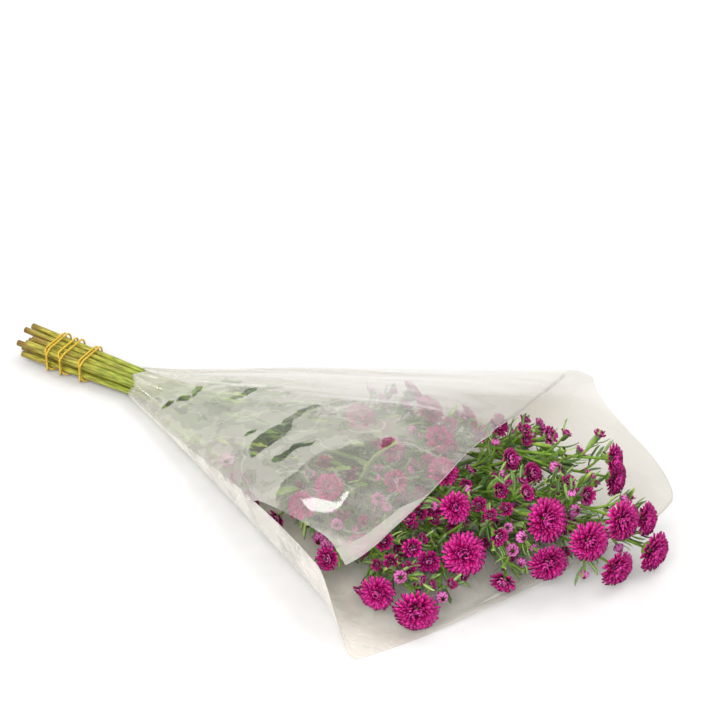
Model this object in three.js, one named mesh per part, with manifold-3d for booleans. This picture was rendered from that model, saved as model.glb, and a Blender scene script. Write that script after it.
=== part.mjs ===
// A cut bunch of spray asters, lying in a clear film sleeve and held by rubber bands.
// Millimetres, +Z up. X runs from the cut ends of the stems to the blooms, Y across the bunch,
// and Z up from the surface that the bunch lies on. The group is moved at the end so that its
// origin is at the bottom centre of its bounding box.
import * as THREE from "three";
import { mergeVertices } from "three/addons/utils/BufferGeometryUtils.js";
import Module from "manifold-3d";

const wasm = await Module();
wasm.setup();

const { abs, cos, max, min, sin, sqrt, PI } = Math;
const { degToRad, lerp } = THREE.MathUtils;
const V = (x, y, z) => new THREE.Vector3(x, y, z);
const UP = V(0, 0, 1);
const GAP = 0.35; // clear space between two pieces that touch on the real bunch

// The stems, from the cut ends through the rubber bands and the neck of the sleeve
const STEM_RADIUS = 2.7;
const TIP_RADIUS = 1.25; // of a stem or branch just below its bloom
const NECK_X = 122;
const BUNDLE_Z = 10.8; // height of the middle of the bundle at the neck
const PITCH = 5.35; // distance between neighbouring stems at the neck
const SPLAY = 1.35; // how much wider the bundle is at the cut ends
const CUT_RISE = 3; // and how much higher its middle is there
const UNEVEN = 14; // how far apart the cut ends are along X
const STEM_SIDES = 5;
const BRANCH_SIDES = 3;

// Where the stems pass the neck as [y, z] in pitches, packed like a bundle of rods. The lower row of
// SPRAYS takes the bottom of the bundle and both sides of its middle, the upper row takes the rest.
const NECK_CELLS = [
  [[-1.5, -0.87], [-1, 0], [-0.5, -0.87], [0.5, -0.87], [1, 0], [1.5, -0.87]],
  [[-1.5, 0.87], [-0.5, 0.87], [0, 0], [0.5, 0.87], [1.5, 0.87]],
];

// The blooms of each stem as [x, y, z, radius, yaw, pitch]: where the bloom's base is, how wide it
// is, and which way it faces, in degrees from +X towards +Y and upwards. The first ends the stem,
// and the others end side branches. Row 0 is the lower layer of stems and row 1 the upper, and
// each row runs from -Y to +Y. One smaller than SMALLEST_BLOOM is still a bud, part of its stem.
const SMALLEST_BLOOM = 6.8;
const SPRAYS = [
  [
    [[436, -128, 18.5, 16.5, -62, 4], [406, -129, 21, 13, -75, 18], [364, -124, 30, 9.5, -90, 25],
      [322, -90, 36, 11, -80, 40], [421, -124, 38, 5.5, -60, 35]],
    [[474, -68, 16, 10, -80, -5], [426, -92, 30, 9, -60, 30], [371, -94, 24, 9, -70, 30],
      [396, -68, 15.5, 11, -50, 0], [446, -110, 20, 5, -50, 20]],
    [[496, -46, 26, 14.5, -50, 8], [462, -38, 15.5, 8.6, -25, 5], [404, -45, 35, 9, -50, 40],
      [474, -58, 36, 5.5, -60, 30]],
    [[536, -19, 17.5, 14, -25, 2], [488, 0, 24, 9, -20, 10], [496, 15, 38, 5.5, -30, 30]],
    [[551, 9, 18.5, 15.5, -12, 3], [541, 16, 38, 12.5, -5, 14], [436, 24, 20, 9.5, 0, 10],
      [451, 16, 43, 9, -15, 35]],
    [[500, 53, 33, 13.5, 0, 8], [440, 62, 28, 9, 30, 10], [372, 66, 28, 12, 40, 20],
      [420, 92, 20, 9.5, 50, 5], [316, 80, 22, 12, 50, 30]],
  ],
  [
    [[449, -84, 41, 16, -55, 32], [423, -112, 55, 8, -50, 50], [396, -104, 44, 8, -60, 45],
      [340, -84, 55, 11, -60, 55]],
    [[492, -46, 62, 16.5, -28, 28], [437, -76, 72, 11.5, -45, 35], [468, -70, 55, 7.5, -40, 20],
      [384, -66, 66, 9, -50, 50], [411, -46, 71, 11.5, -30, 60]],
    [[519, -30, 43, 15, -45, 18], [473, -40, 73, 7, -10, 45], [452, -38, 66, 7, -30, 40],
      [360, -30, 60, 10.5, -20, 60], [478, -54, 47, 5, -40, 20]],
    [[532, -6, 50, 15, -25, 18], [502, 0, 55, 7.5, -20, 35], [438, 4, 58, 9.5, 0, 35],
      [388, -8, 65, 12, -10, 60], [318, -2, 54, 12, -20, 65], [503, -22, 58, 5, -30, 30]],
    [[504, 37, 64, 11.5, 5, 18], [450, 44, 58, 8, 0, 35], [413, 34, 60, 9.5, -5, 40],
      [356, 34, 52, 12, 10, 55], [466, 24, 50, 5.5, -30, 30]],
  ],
];

// Petals: how many a ring has and how many rings there are, by the radius of the bloom
const PETALS = [
  { above: 14, count: 12, rings: 4 },
  { above: 10.5, count: 9, rings: 3 },
  { above: 0, count: 7, rings: 3 },
];
const CORE = 0.36; // radius of the core that the petals stand out of, as a share of the bloom's
const PETAL_LIFTS = { 3: [0.08, 0.86, 1.25], 4: [0.08, 0.46, 0.86, 1.25] };
const PETAL_WIDTH = 3.4; // of all the petals of a ring side by side, as a share of their reach

// The green cup under a bloom, and an opening bud, as [distance along, radius] in shares of the
// radius of the bloom, from where it joins its stalk
const CUP_SHAPE = [[-0.26, 0.33], [0, 0.46]];
const BUD_SHAPE = [[-0.3, 0.4], [0.3, 0.95], [0.9, 1], [1.3, 0.5]];

// Leaves and green buds: between which shares of their stem or branch they grow, how many, how long
// at both ends of that stretch, how wide as a share of that, and how far they lean from the stem
const NECK_LEAVES = { from: 0.08, to: 0.42, count: 4, long: [52, 38], slim: 0.18, lean: 0.66, bends: 3 };
const STEM_LEAVES = { from: 0.45, to: 0.93, count: 4, long: [29, 17], slim: 0.22, lean: 0.75, bends: 2 };
const BRANCH_LEAVES = { from: 0.3, to: 0.85, count: 2, long: [20, 14], slim: 0.25, lean: 0.75, bends: 2 };
const GREEN_BUDS = { from: 0.35, to: 0.7, count: 1, long: [18, 18], slim: 0.3, lean: 0.7 };
const BUD_EVERY = 3; // one branch in this many carries a green bud
const LEAF_THICK = 0.8;
const GOLDEN_ANGLE = 2.39996;
const TRIES = 14; // places round the stem that a leaf may try before it is left out

// The sleeve: a film folded round the bunch and sealed along both sides. Its lower sheet runs on
// past the mouth as a flap, and the seal at the front is open from its last sealed row to the mouth.
const FILM = 0.6;
const SLEEVE_START = 112;
const SLEEVE_RADIUS = 14.5; // half its width round the bundle at the neck
const FLAP_HALF_WIDTH = 177;
const BACK_RISE = 9.5; // how far the back crease rises above its height at the neck
const FRONT_RISE = 39; // and how far the front one does
const TOP_RISE = 72; // how far the upper sheet rises above the neck of the sleeve
const PEAK = -0.25; // where it is highest, as a share of the way from its middle to the back crease
const BODY_ROWS = 9; // rows of its grid from the neck to the mouth
const SEALED_ROWS = 6; // of which these are sealed along the front
const SLIT = 0.045; // how wide the open seal gapes at the mouth, as a share of the sleeve's width
const FLAP_ROWS = 4; // rows from the mouth to the end of the flap
const LOWER_COLUMNS = 12;
const UPPER_COLUMNS = 8;
const LIP_RISE = 7; // how far the end of the flap curls up

// The rubber bands: where each lies along the stems, and how far its two turns lean apart
const BANDS = [
  { x: 35, lean: 3.2 },
  { x: 48, lean: 4.2 },
  { x: 67, lean: 2.6 },
];
const BAND_RADIUS = 0.8;
const BAND_STEPS = 28;
const BAND_SIDES = 4;

const MATERIALS = {
  stem: new THREE.MeshStandardMaterial({ color: 0x5f7f35, roughness: 0.7 }),
  bloom: new THREE.MeshStandardMaterial({ color: 0xb01a78, roughness: 0.65 }),
  band: new THREE.MeshStandardMaterial({ color: 0xd9a520, roughness: 0.5 }),
  film: new THREE.MeshStandardMaterial({
    color: 0xeeeaf0, roughness: 0.15, transparent: true, opacity: 0.35,
  }),
};

const group = new THREE.Group();
const addMesh = (name, geometry, material) => {
  const mesh = new THREE.Mesh(geometry, material);
  mesh.name = name;
  group.add(mesh);
  return mesh;
};

// A geometry from points and triangles
function geometryOf(points, triangles) {
  const made = new THREE.BufferGeometry();
  made.setFromPoints(points);
  made.setIndex(triangles.flat());
  return made;
}

// A closed geometry as a solid, for the joins, and back again
function solidOf(geometry) {
  const merged = mergeVertices(geometry, 1e-4);
  return new wasm.Manifold(new wasm.Mesh({
    numProp: 3,
    vertProperties: merged.attributes.position.array,
    triVerts: new Uint32Array(merged.index.array),
  }));
}

function geometryOfSolid(solid) {
  const { vertProperties, triVerts } = solid.getMesh();
  const made = new THREE.BufferGeometry();
  made.setAttribute("position", new THREE.BufferAttribute(vertProperties, 3));
  made.setIndex(new THREE.BufferAttribute(triVerts, 1));
  return made;
}

// A seeded row of numbers from 0 to 1, the same on every run
function drawsFrom(seed) {
  let state = seed >>> 0;
  return () => {
    state = (Math.imul(state, 1664525) + 1013904223) >>> 0;
    return state / 4294967296;
  };
}

const smooth = (t) => {
  const share = min(1, max(0, t));
  return share * share * (3 - 2 * share);
};

// The direction at a yaw from +X towards +Y and a pitch upwards, both in degrees
const facing = (yaw, pitch) => V(
  cos(degToRad(yaw)) * cos(degToRad(pitch)),
  sin(degToRad(yaw)) * cos(degToRad(pitch)),
  sin(degToRad(pitch)),
);

// A solid swept along points with a radius at each, flat at both ends
function sweep(points, radii, sides) {
  const vertices = [];
  const triangles = [];
  let side = null;
  points.forEach((point, i) => {
    const before = points[max(i - 1, 0)];
    const along = points[min(i + 1, points.length - 1)].clone().sub(before).normalize();
    if (!side) side = UP.clone().cross(along);
    side = side.addScaledVector(along, -side.dot(along)).normalize();
    const over = along.clone().cross(side);
    for (let j = 0; j < sides; j += 1) {
      const angle = (2 * PI * j) / sides;
      vertices.push(point.clone()
        .addScaledVector(side, radii[i] * cos(angle))
        .addScaledVector(over, radii[i] * sin(angle)));
    }
  });
  const last = points.length - 1;
  const at = (i, j) => i * sides + (j % sides);
  for (let i = 0; i < last; i += 1)
    for (let j = 0; j < sides; j += 1) {
      triangles.push([at(i, j), at(i, j + 1), at(i + 1, j + 1)]);
      triangles.push([at(i, j), at(i + 1, j + 1), at(i + 1, j)]);
    }
  for (let j = 1; j + 1 < sides; j += 1)
    triangles.push([at(0, 0), at(0, j + 1), at(0, j)], [at(last, 0), at(last, j), at(last, j + 1)]);
  return geometryOf(vertices, triangles);
}

// Where stem n of a row passes the neck, and where it is cut
function neckPoint(row, n) {
  const [y, z] = NECK_CELLS[row][n];
  return V(NECK_X, y * PITCH, BUNDLE_Z + z * PITCH);
}

function cutPoint(row, n) {
  const neck = neckPoint(row, n);
  const uneven = (UNEVEN / 2) * (1 + sin(5.1 * n + 2.3 * row));
  return V(uneven, neck.y * SPLAY, BUNDLE_Z + CUT_RISE + (neck.z - BUNDLE_Z) * SPLAY);
}

// The line of a stem beyond the neck: out of the bundle, then into the base of its end bloom
function stemCurve(neck, cut, tip) {
  const out = neck.clone().sub(cut).normalize();
  const reach = tip.base.distanceTo(neck);
  return new THREE.CubicBezierCurve3(
    neck,
    neck.clone().addScaledVector(out, reach * 0.25).lerp(tip.base, 0.12),
    tip.base.clone().addScaledVector(tip.face, -reach * 0.16),
    tip.base,
  );
}

// The line of a side branch: it leaves the stem along it, and ends in the base of its bloom
function branchCurve(stemLine, tip) {
  let from = 0.12;
  for (let t = from; t < 0.9; t += 0.02) {
    const point = stemLine.getPoint(t);
    if (point.x < tip.base.x - 38 - 0.25 * point.distanceTo(tip.base)) from = t;
  }
  const root = stemLine.getPoint(from);
  const reach = tip.base.distanceTo(root);
  return new THREE.CubicBezierCurve3(
    root,
    root.clone().addScaledVector(stemLine.getTangent(from), reach * 0.4),
    tip.base.clone().addScaledVector(tip.face, -reach * 0.3),
    tip.base,
  );
}

// The straight pieces between points as one curve, so that what grows on a swept line is rooted in it
function lineThrough(points) {
  const line = new THREE.CurvePath();
  points.slice(1).forEach((point, i) => line.add(new THREE.LineCurve3(points[i], point)));
  return line;
}

// The points and radii of a stem or branch along its curve, with its cup or its bud at the end
function shoot(curve, steps, thick, tip) {
  const points = [];
  const radii = [];
  const stop = 1 - (tip.radius * 0.36) / curve.getLength();
  for (let i = 0; i <= steps; i += 1) {
    points.push(curve.getPointAt((stop * i) / steps));
    radii.push(lerp(thick, TIP_RADIUS, i / steps));
  }
  (tip.isBud ? BUD_SHAPE : CUP_SHAPE).forEach(([along, wide]) => {
    points.push(tip.base.clone().addScaledVector(tip.face, tip.radius * along));
    radii.push(tip.radius * wide);
  });
  return { points, radii, line: lineThrough(points) };
}

// A double bloom on its cup: petals stand out of a domed core in rings, each ring turned half a
// petal from the one below. Its base lies in the plane z = 0 and it faces +Z.
function bloomGeometry(radius, { count, rings }) {
  const points = [V(0, 0, GAP)];
  const triangles = [];
  const at = (ring, j) => 1 + ring * count + (j % count);
  const turn = (ring, j) => ((j + ring / 2) * 2 * PI) / count;
  for (let ring = 0; ring < rings; ring += 1) {
    const rise = ring / (rings - 1);
    const wide = radius * CORE * cos(rise * 1.25);
    const high = GAP + radius * (0.02 + 0.42 * sin(rise * 1.35));
    for (let j = 0; j < count; j += 1)
      points.push(V(wide * cos(turn(ring, j)), wide * sin(turn(ring, j)), high));
  }
  const top = points.length;
  points.push(V(0, 0, GAP + radius * 0.42));
  // The petal over one cell of the core, between its left and right, lower and upper corners. All
  // but those of the last ring end in a blunt edge, and those of the first have no lower corner.
  const addPetal = (ring, j) => {
    const [left, right] = [at(ring, j), at(ring, j + 1)];
    const below = ring > 0 ? at(ring - 1, j + 1) : null;
    const above = ring < rings - 1 ? at(ring + 1, j) : top;
    const blunt = ring < rings - 1;
    const angle = turn(ring, j + 0.5);
    const lift = PETAL_LIFTS[rings][ring];
    const reach = radius * (1 - 0.16 * ring);
    const out = V(cos(angle) * cos(lift), sin(angle) * cos(lift), sin(lift));
    const tip = V(0, 0, GAP + radius * 0.1).addScaledVector(out, reach);
    const half = V(-sin(angle), cos(angle), 0).multiplyScalar(blunt ? (reach * PETAL_WIDTH) / 2 / count : 0);
    const l = points.length;
    points.push(tip.clone().sub(half));
    if (blunt) points.push(tip.clone().add(half));
    const r = points.length - 1;
    triangles.push([above, left, l], [above, r, right]);
    if (blunt) triangles.push([above, l, r]);
    if (below === null) triangles.push([left, right, r]);
    if (below === null && blunt) triangles.push([left, r, l]);
    if (below !== null) triangles.push([below, right, r], [below, l, left]);
    if (below !== null && blunt) triangles.push([below, r, l]);
  };
  for (let j = 0; j < count; j += 1) {
    triangles.push([0, at(0, j + 1), at(0, j)]);
    for (let ring = 0; ring < rings; ring += 1) addPetal(ring, j);
  }
  return geometryOf(points, triangles);
}

// A leaf: a thin arched blade with a flat underside and a raised midrib, its root sunk in the stem.
// It comes with the balls that stand for it where later leaves look for a clear place.
function leaf(root, along, over, long, { slim, bends }) {
  const width = long * slim;
  const side = over.clone().cross(along).normalize();
  const spine = (t) => root.clone()
    .addScaledVector(along, long * t)
    .addScaledVector(over, long * (0.32 * t - 0.34 * t * t));
  const shares = bends === 3 ? [0, 0.36, 0.72] : [0, 0.5];
  const halves = bends === 3 ? [0.6, width * 0.5, width * 0.42] : [0.5, width * 0.5];
  const points = shares.flatMap((t, i) => [
    spine(t).addScaledVector(side, halves[i]),
    spine(t).addScaledVector(over, LEAF_THICK),
    spine(t).addScaledVector(side, -halves[i]),
  ]);
  const tip = points.length;
  points.push(spine(1));
  const triangles = [[0, 2, 1]];
  for (let a = 0; a < tip; a += 1) {
    const b = a % 3 === 2 ? a - 2 : a + 1;
    if (a + 3 < tip) triangles.push([a, b, b + 3], [a, b + 3, a + 3]);
    else triangles.push([a, b, tip]);
  }
  const balls = [0.16, 0.3, 0.45, 0.6, 0.78, 0.95].map(spine);
  return { geometry: geometryOf(points, triangles), balls, radius: width * 0.45 };
}

// A closed green bud on a thin stalk
function greenBud(root, along, over, long, { slim }) {
  const wide = long * slim;
  const stalk = (t) => root.clone()
    .addScaledVector(along, long * t)
    .addScaledVector(over, long * 0.26 * t * t);
  const radii = [0.75, 0.65, wide * 0.52, wide * 0.22];
  return {
    geometry: sweep([0, 0.7, 0.82, 1].map(stalk), radii, BRANCH_SIDES),
    balls: [0.35, 0.6, 0.88].map(stalk),
    radius: wide * 0.5,
  };
}

// The sleeve's form along X: half its width, and the height of its creases and of its top
const depth = (x) => x - SLEEVE_START;
const fullness = (x) => smooth(depth(x) / 200);
const halfWidth = (x) => min(FLAP_HALF_WIDTH, SLEEVE_RADIUS + 0.5 * depth(x) + 0.00014 * depth(x) ** 2);
const backCrease = (x) => (BUNDLE_Z + BACK_RISE * smooth(depth(x) / 150)) * (1 - smooth((x - 418) / 60));
const frontCrease = (x) => (BUNDLE_Z + FRONT_RISE * smooth(depth(x) / 260)) * (1 - smooth((x - 372) / 40));
const creaseHeight = (x, q) => max(FILM / 2, q < 0 ? frontCrease(x) : backCrease(x));
const topHeight = (x) => 2 * BUNDLE_Z + TOP_RISE * smooth(depth(x) / 300 + 0.02);

// Height of the lower and upper sheet at x, and at q from -1, the front crease, to 1, the back one.
// The lower sheet lies flat between its curled sides. The upper one is highest towards the front,
// and slopes down almost straight from there to the back.
function lowerSheet(x, q) {
  const sharp = 2 + (q < 0 ? 14 : 7) * fullness(x);
  const curl = max(0, 1.02 * (1 - sqrt(max(0, 1 - abs(q) ** sharp))) - 0.02);
  return FILM / 2 + (creaseHeight(x, q) - FILM / 2) * curl;
}

function upperSheet(x, q) {
  const peak = PEAK * fullness(x);
  const away = min(1, q < peak ? (peak - q) / (1 + peak) : (q - peak) / (1 - peak));
  const round = sqrt(1 - away * away);
  const share = q < peak ? round : lerp(round, 1 - away ** 1.3, fullness(x));
  return creaseHeight(x, q) + (topHeight(x) - creaseHeight(x, q)) * share;
}

// Where the sheets end along X: the mouth of the upper one, and the edge of the flap
const mouthEdge = (q) => 428 - 18 * max(0, q) ** 2 - 46 * max(0, (-0.3 - q) / 0.7) ** 2;
const flapEdge = (q) => 536 - (q < 0.5 ? 120 * ((0.5 - q) / 1.5) ** 1.6 : 108 * (2 * q - 1) ** 1.5);

// Balls that stand for what is already placed, so that leaves and buds keep clear of it
const placed = [];
const addBalls = (owner, points, radius) => points.forEach((point) => placed.push({ owner, point, radius }));

function inSleeve(point, radius) {
  if (point.x < SLEEVE_START - 8 || point.z < FILM + 2 * GAP + radius) return false;
  const q = point.y / halfWidth(point.x);
  if (abs(q) > 1 - (radius + 2) / halfWidth(point.x)) return point.x > 432;
  if (point.x > mouthEdge(q) + 4) return true;
  return point.z + radius + 1.5 < upperSheet(point.x, q) && point.z - radius - 1.5 > lowerSheet(point.x, q);
}

function isClear(owner, points, radius) {
  return points.every((point) => inSleeve(point, radius) && placed.every((ball) =>
    ball.owner === owner || ball.point.distanceTo(point) > ball.radius + radius + GAP));
}

// The leaves or buds along a line: each tries a few places round it, leaning less and less
function grow(owner, line, spec, make, draw) {
  const solids = [];
  for (let k = 0; k < spec.count; k += 1) {
    const share = (k + 0.25 + 0.5 * draw()) / spec.count;
    const t = lerp(spec.from, spec.to, share);
    const root = line.getPoint(t);
    const tangent = line.getTangent(t);
    const side = UP.clone().cross(tangent).normalize();
    const start = draw() * 2 * PI;
    const long = lerp(spec.long[0], spec.long[1], share) * (0.85 + 0.3 * draw());
    for (let trial = 0; trial < TRIES; trial += 1) {
      const lean = spec.lean * (1 - (0.7 * trial) / TRIES);
      const outward = side.clone().applyAxisAngle(tangent, start + trial * GOLDEN_ANGLE);
      const along = tangent.clone().multiplyScalar(cos(lean)).addScaledVector(outward, sin(lean));
      const over = outward.clone().addScaledVector(along, -outward.dot(along)).normalize();
      const piece = make(root, along, over, long, spec);
      if (isClear(owner, piece.balls, piece.radius)) {
        solids.push(solidOf(piece.geometry));
        addBalls(owner, piece.balls, piece.radius);
        break;
      }
    }
  }
  return solids;
}

// Every stem with the blooms and buds that end it and its branches
const tipOf = (name, [x, y, z, radius, yaw, pitch]) =>
  ({ name, base: V(x, y, z), face: facing(yaw, pitch), radius, isBud: radius < SMALLEST_BLOOM });
const stems = SPRAYS.flatMap((sprays, row) => sprays.map((spray, n) => ({
  name: `stem_${row}${n}`,
  cut: cutPoint(row, n),
  neck: neckPoint(row, n),
  tips: spray.map((tip, k) => tipOf(`bloom_${row}${n}_${k}`, tip)),
})));

stems.flatMap((stem) => stem.tips).filter((tip) => !tip.isBud).forEach((tip) => {
  const petals = PETALS.find(({ above }) => tip.radius > above);
  const mesh = addMesh(tip.name, bloomGeometry(tip.radius, petals), MATERIALS.bloom);
  mesh.position.copy(tip.base);
  mesh.quaternion.setFromUnitVectors(UP, tip.face);
  const middle = tip.base.clone().addScaledVector(tip.face, tip.radius * 0.3);
  const across = V(0, 1, 0).cross(tip.face).setLength(tip.radius * 0.62);
  const rim = [0, 1, 2, 3, 4, 5, 6, 7].map((i) =>
    middle.clone().add(across.clone().applyAxisAngle(tip.face, (i * PI) / 4)));
  addBalls(tip.name, [middle], tip.radius * 0.62);
  addBalls(tip.name, rim, tip.radius * 0.42);
});

// All the bare wood comes first, so that every leaf and bud knows what to keep clear of
stems.forEach((stem) => {
  const main = shoot(stemCurve(stem.neck, stem.cut, stem.tips[0]), 9, STEM_RADIUS * 0.92, stem.tips[0]);
  const points = [stem.cut, stem.cut.clone().lerp(stem.neck, 0.5), ...main.points];
  const radii = [STEM_RADIUS, STEM_RADIUS, ...main.radii];
  stem.line = main.line;
  stem.solids = [solidOf(sweep(points, radii, STEM_SIDES))];
  addBalls(stem.name, stem.line.getSpacedPoints(110), STEM_RADIUS * 0.92);
  stem.branches = stem.tips.slice(1).map((tip) => {
    const side = shoot(branchCurve(stem.line, tip), 4, TIP_RADIUS * 1.2, tip);
    stem.solids.push(solidOf(sweep(side.points, side.radii, tip.isBud ? STEM_SIDES : BRANCH_SIDES)));
    addBalls(stem.name, side.line.getSpacedPoints(30), TIP_RADIUS * 1.3);
    const budMiddle = tip.base.clone().addScaledVector(tip.face, tip.radius * 0.5);
    if (tip.isBud) addBalls(stem.name, [budMiddle], tip.radius);
    return side.line;
  });
});

stems.forEach((stem, i) => {
  const draw = drawsFrom(1000 + 77 * i);
  stem.solids.push(...grow(stem.name, stem.line, NECK_LEAVES, leaf, draw));
  stem.solids.push(...grow(stem.name, stem.line, STEM_LEAVES, leaf, draw));
  stem.branches.forEach((line, k) => {
    stem.solids.push(...grow(stem.name, line, BRANCH_LEAVES, leaf, draw));
    if (k % BUD_EVERY === 1) stem.solids.push(...grow(stem.name, line, GREEN_BUDS, greenBud, draw));
  });
  addMesh(stem.name, geometryOfSolid(wasm.Manifold.union(stem.solids)), MATERIALS.stem);
});

// The line of a rubber band: two turns drawn tight round the bundle, which cross each other once,
// with the second turn lying over the first
function bandPoints({ x, lean }) {
  const points = [];
  for (let i = 0; i < BAND_STEPS; i += 1) {
    const angle = (4 * PI * i) / BAND_STEPS;
    const at = x + lean * cos(angle / 2);
    const outward = V(0, cos(angle), sin(angle));
    const passing = stems.map(({ cut, neck }) => cut.clone().lerp(neck, (at - cut.x) / (neck.x - cut.x)));
    const outermost = passing.reduce((best, point) => (point.dot(outward) > best.dot(outward) ? point : best));
    const over = (BAND_RADIUS + GAP / 2) * (1 + sin(angle / 2));
    points.push(outermost.addScaledVector(outward, STEM_RADIUS + GAP + BAND_RADIUS + over).setX(at));
  }
  return points;
}

// A cord of one radius along a closed line round the X axis
function closedSweep(points, radius, sides) {
  const vertices = [];
  const triangles = [];
  const count = points.length;
  const at = (i, j) => (i % count) * sides + (j % sides);
  points.forEach((point, i) => {
    const along = points[(i + 1) % count].clone().sub(points[(i + count - 1) % count]).normalize();
    const side = V(1, 0, 0).addScaledVector(along, -along.x).normalize();
    const over = along.clone().cross(side);
    for (let j = 0; j < sides; j += 1) {
      const angle = (2 * PI * (j + 0.5)) / sides;
      vertices.push(point.clone()
        .addScaledVector(side, radius * cos(angle))
        .addScaledVector(over, radius * sin(angle)));
      triangles.push([at(i, j), at(i, j + 1), at(i + 1, j + 1)]);
      triangles.push([at(i, j), at(i + 1, j + 1), at(i + 1, j)]);
    }
  });
  return geometryOf(vertices, triangles);
}

BANDS.forEach((band, i) =>
  addMesh(`rubber_band_${i + 1}`, closedSweep(bandPoints(band), BAND_RADIUS, BAND_SIDES), MATERIALS.band));

// The sleeve as one surface. Its two sheets share the points of the back crease, and those of the
// front one as far as it is sealed.
function sleeveSurface() {
  const points = [];
  const triangles = [];
  const addPoint = (x, q, z) => points.push(V(x, q * halfWidth(x), z)) - 1;
  const rowX = (row, q) => (row <= BODY_ROWS
    ? lerp(SLEEVE_START, mouthEdge(q), row / BODY_ROWS)
    : lerp(mouthEdge(q), flapEdge(q), (row - BODY_ROWS) / FLAP_ROWS));
  // Columns lie closer together towards the creases, where the sheets curl
  const columnQ = (j, count) => sin(((2 * j) / count - 1) * (PI / 2));
  const lastRow = BODY_ROWS + FLAP_ROWS;
  const lower = [];
  for (let row = 0; row <= lastRow; row += 1) {
    lower.push([]);
    for (let j = 0; j <= LOWER_COLUMNS; j += 1) {
      const q = columnQ(j, LOWER_COLUMNS);
      const alongLip = q > -0.8 && q < 0.3 ? sin(((q + 0.8) / 1.1) * PI) : 0;
      const lip = LIP_RISE * alongLip * smooth((row - lastRow + 1.5) / 1.5);
      lower[row].push(addPoint(rowX(row, q), q, lowerSheet(rowX(row, q), q) + lip));
    }
  }
  const upper = [];
  for (let row = 0; row <= BODY_ROWS; row += 1) {
    const apart = SLIT * smooth((row - SEALED_ROWS) / (BODY_ROWS - SEALED_ROWS));
    upper.push([]);
    for (let j = 0; j < UPPER_COLUMNS; j += 1) {
      const q = lerp(columnQ(j, UPPER_COLUMNS), 1, apart);
      if (j === 0 && row <= SEALED_ROWS) upper[row].push(lower[row][0]);
      else upper[row].push(addPoint(rowX(row, q), q, upperSheet(rowX(row, q), q)));
    }
    upper[row].push(lower[row][LOWER_COLUMNS]);
  }
  const addFaces = (grid, turned) => {
    for (let i = 0; i + 1 < grid.length; i += 1)
      for (let j = 0; j + 1 < grid[i].length; j += 1) {
        const [a, b, c, d] = [grid[i][j], grid[i + 1][j], grid[i + 1][j + 1], grid[i][j + 1]];
        triangles.push(...(turned ? [[a, c, b], [a, d, c]] : [[a, b, c], [a, c, d]]));
      }
  };
  addFaces(upper, false);
  addFaces(lower, true);
  return { points, triangles };
}

// Two skins, half the thickness to either side of a surface, joined along its open edges
function thicken({ points, triangles }, thickness) {
  const normals = points.map(() => V(0, 0, 0));
  triangles.forEach(([a, b, c]) => {
    const across = points[c].clone().sub(points[a]);
    const normal = points[b].clone().sub(points[a]).cross(across);
    [a, b, c].forEach((i) => normals[i].add(normal));
  });
  normals.forEach((normal) => normal.setLength(thickness / 2));
  const count = points.length;
  const outer = points.map((point, i) => point.clone().add(normals[i]));
  const inner = points.map((point, i) => point.clone().sub(normals[i]));
  const faces = triangles.flatMap(([a, b, c]) => [[a, b, c], [a + count, c + count, b + count]]);
  const edges = triangles.flatMap(([a, b, c]) => [[a, b], [b, c], [c, a]]);
  const known = new Set(edges.map(String));
  edges.filter(([a, b]) => !known.has(String([b, a]))).forEach(([a, b]) =>
    faces.push([b, a, a + count], [b, a + count, b + count]));
  return geometryOf([...outer, ...inner], faces);
}

addMesh("sleeve_film", thicken(sleeveSurface(), FILM), MATERIALS.film);

// The origin goes to the bottom centre of the whole bunch
const box = new THREE.Box3().setFromObject(group, true);
const centre = box.getCenter(V(0, 0, 0));
group.position.set(-centre.x, -centre.y, -box.min.z);

export default group;
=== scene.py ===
# %% [markdown]
# # A bunch of spray asters in a film sleeve
#
# The object is a cut bunch: eleven woody stems with sprays of double magenta blooms, three rubber
# bands round the bare stems, and a clear film sleeve folded round the leaves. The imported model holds
# every piece at its real size and place. This lesson dresses it: each plain solid gets a finer piece
# that keeps its form, and each surface gets the finish of the real one.

# %% Load the frame
from math import asin, cos, pi, radians, sin, sqrt
from types import SimpleNamespace

import bmesh
import bpy
import numpy as np
from mathutils import Matrix, Quaternion, Vector, noise


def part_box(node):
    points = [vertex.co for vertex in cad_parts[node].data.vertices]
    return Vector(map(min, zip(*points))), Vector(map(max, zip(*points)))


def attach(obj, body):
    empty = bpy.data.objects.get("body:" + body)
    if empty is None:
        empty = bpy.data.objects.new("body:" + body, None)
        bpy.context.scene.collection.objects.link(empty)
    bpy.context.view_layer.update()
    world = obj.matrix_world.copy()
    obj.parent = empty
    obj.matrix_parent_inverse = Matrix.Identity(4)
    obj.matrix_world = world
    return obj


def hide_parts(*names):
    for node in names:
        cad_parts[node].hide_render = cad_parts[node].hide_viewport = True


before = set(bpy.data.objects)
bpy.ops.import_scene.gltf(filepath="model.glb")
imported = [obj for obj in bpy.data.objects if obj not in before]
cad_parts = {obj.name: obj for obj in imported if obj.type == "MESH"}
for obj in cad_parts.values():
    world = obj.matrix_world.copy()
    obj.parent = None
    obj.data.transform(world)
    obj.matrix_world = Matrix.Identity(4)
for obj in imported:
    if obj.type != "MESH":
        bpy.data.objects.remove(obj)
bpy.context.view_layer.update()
print("nodes in the frame:", len(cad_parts))

# %% [markdown]
# The camera comes first, so that every later piece is judged in the same view. It looks down at 36
# degrees on the bunch, which lies turned 30 degrees away from the picture plane. A long lens from
# more than a metre away gives the flat perspective of a studio picture.

# %% Camera
LOOKS_DOWN = 36  # degrees
TURNED = 30
CAMERA_PLACE = (0.6794, -1.1146, 1.0419)


def in_scene(name, data):
    """A new object of the scene with this data"""
    thing = bpy.data.objects.new(name, data)
    bpy.context.scene.collection.objects.link(thing)
    return thing


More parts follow.
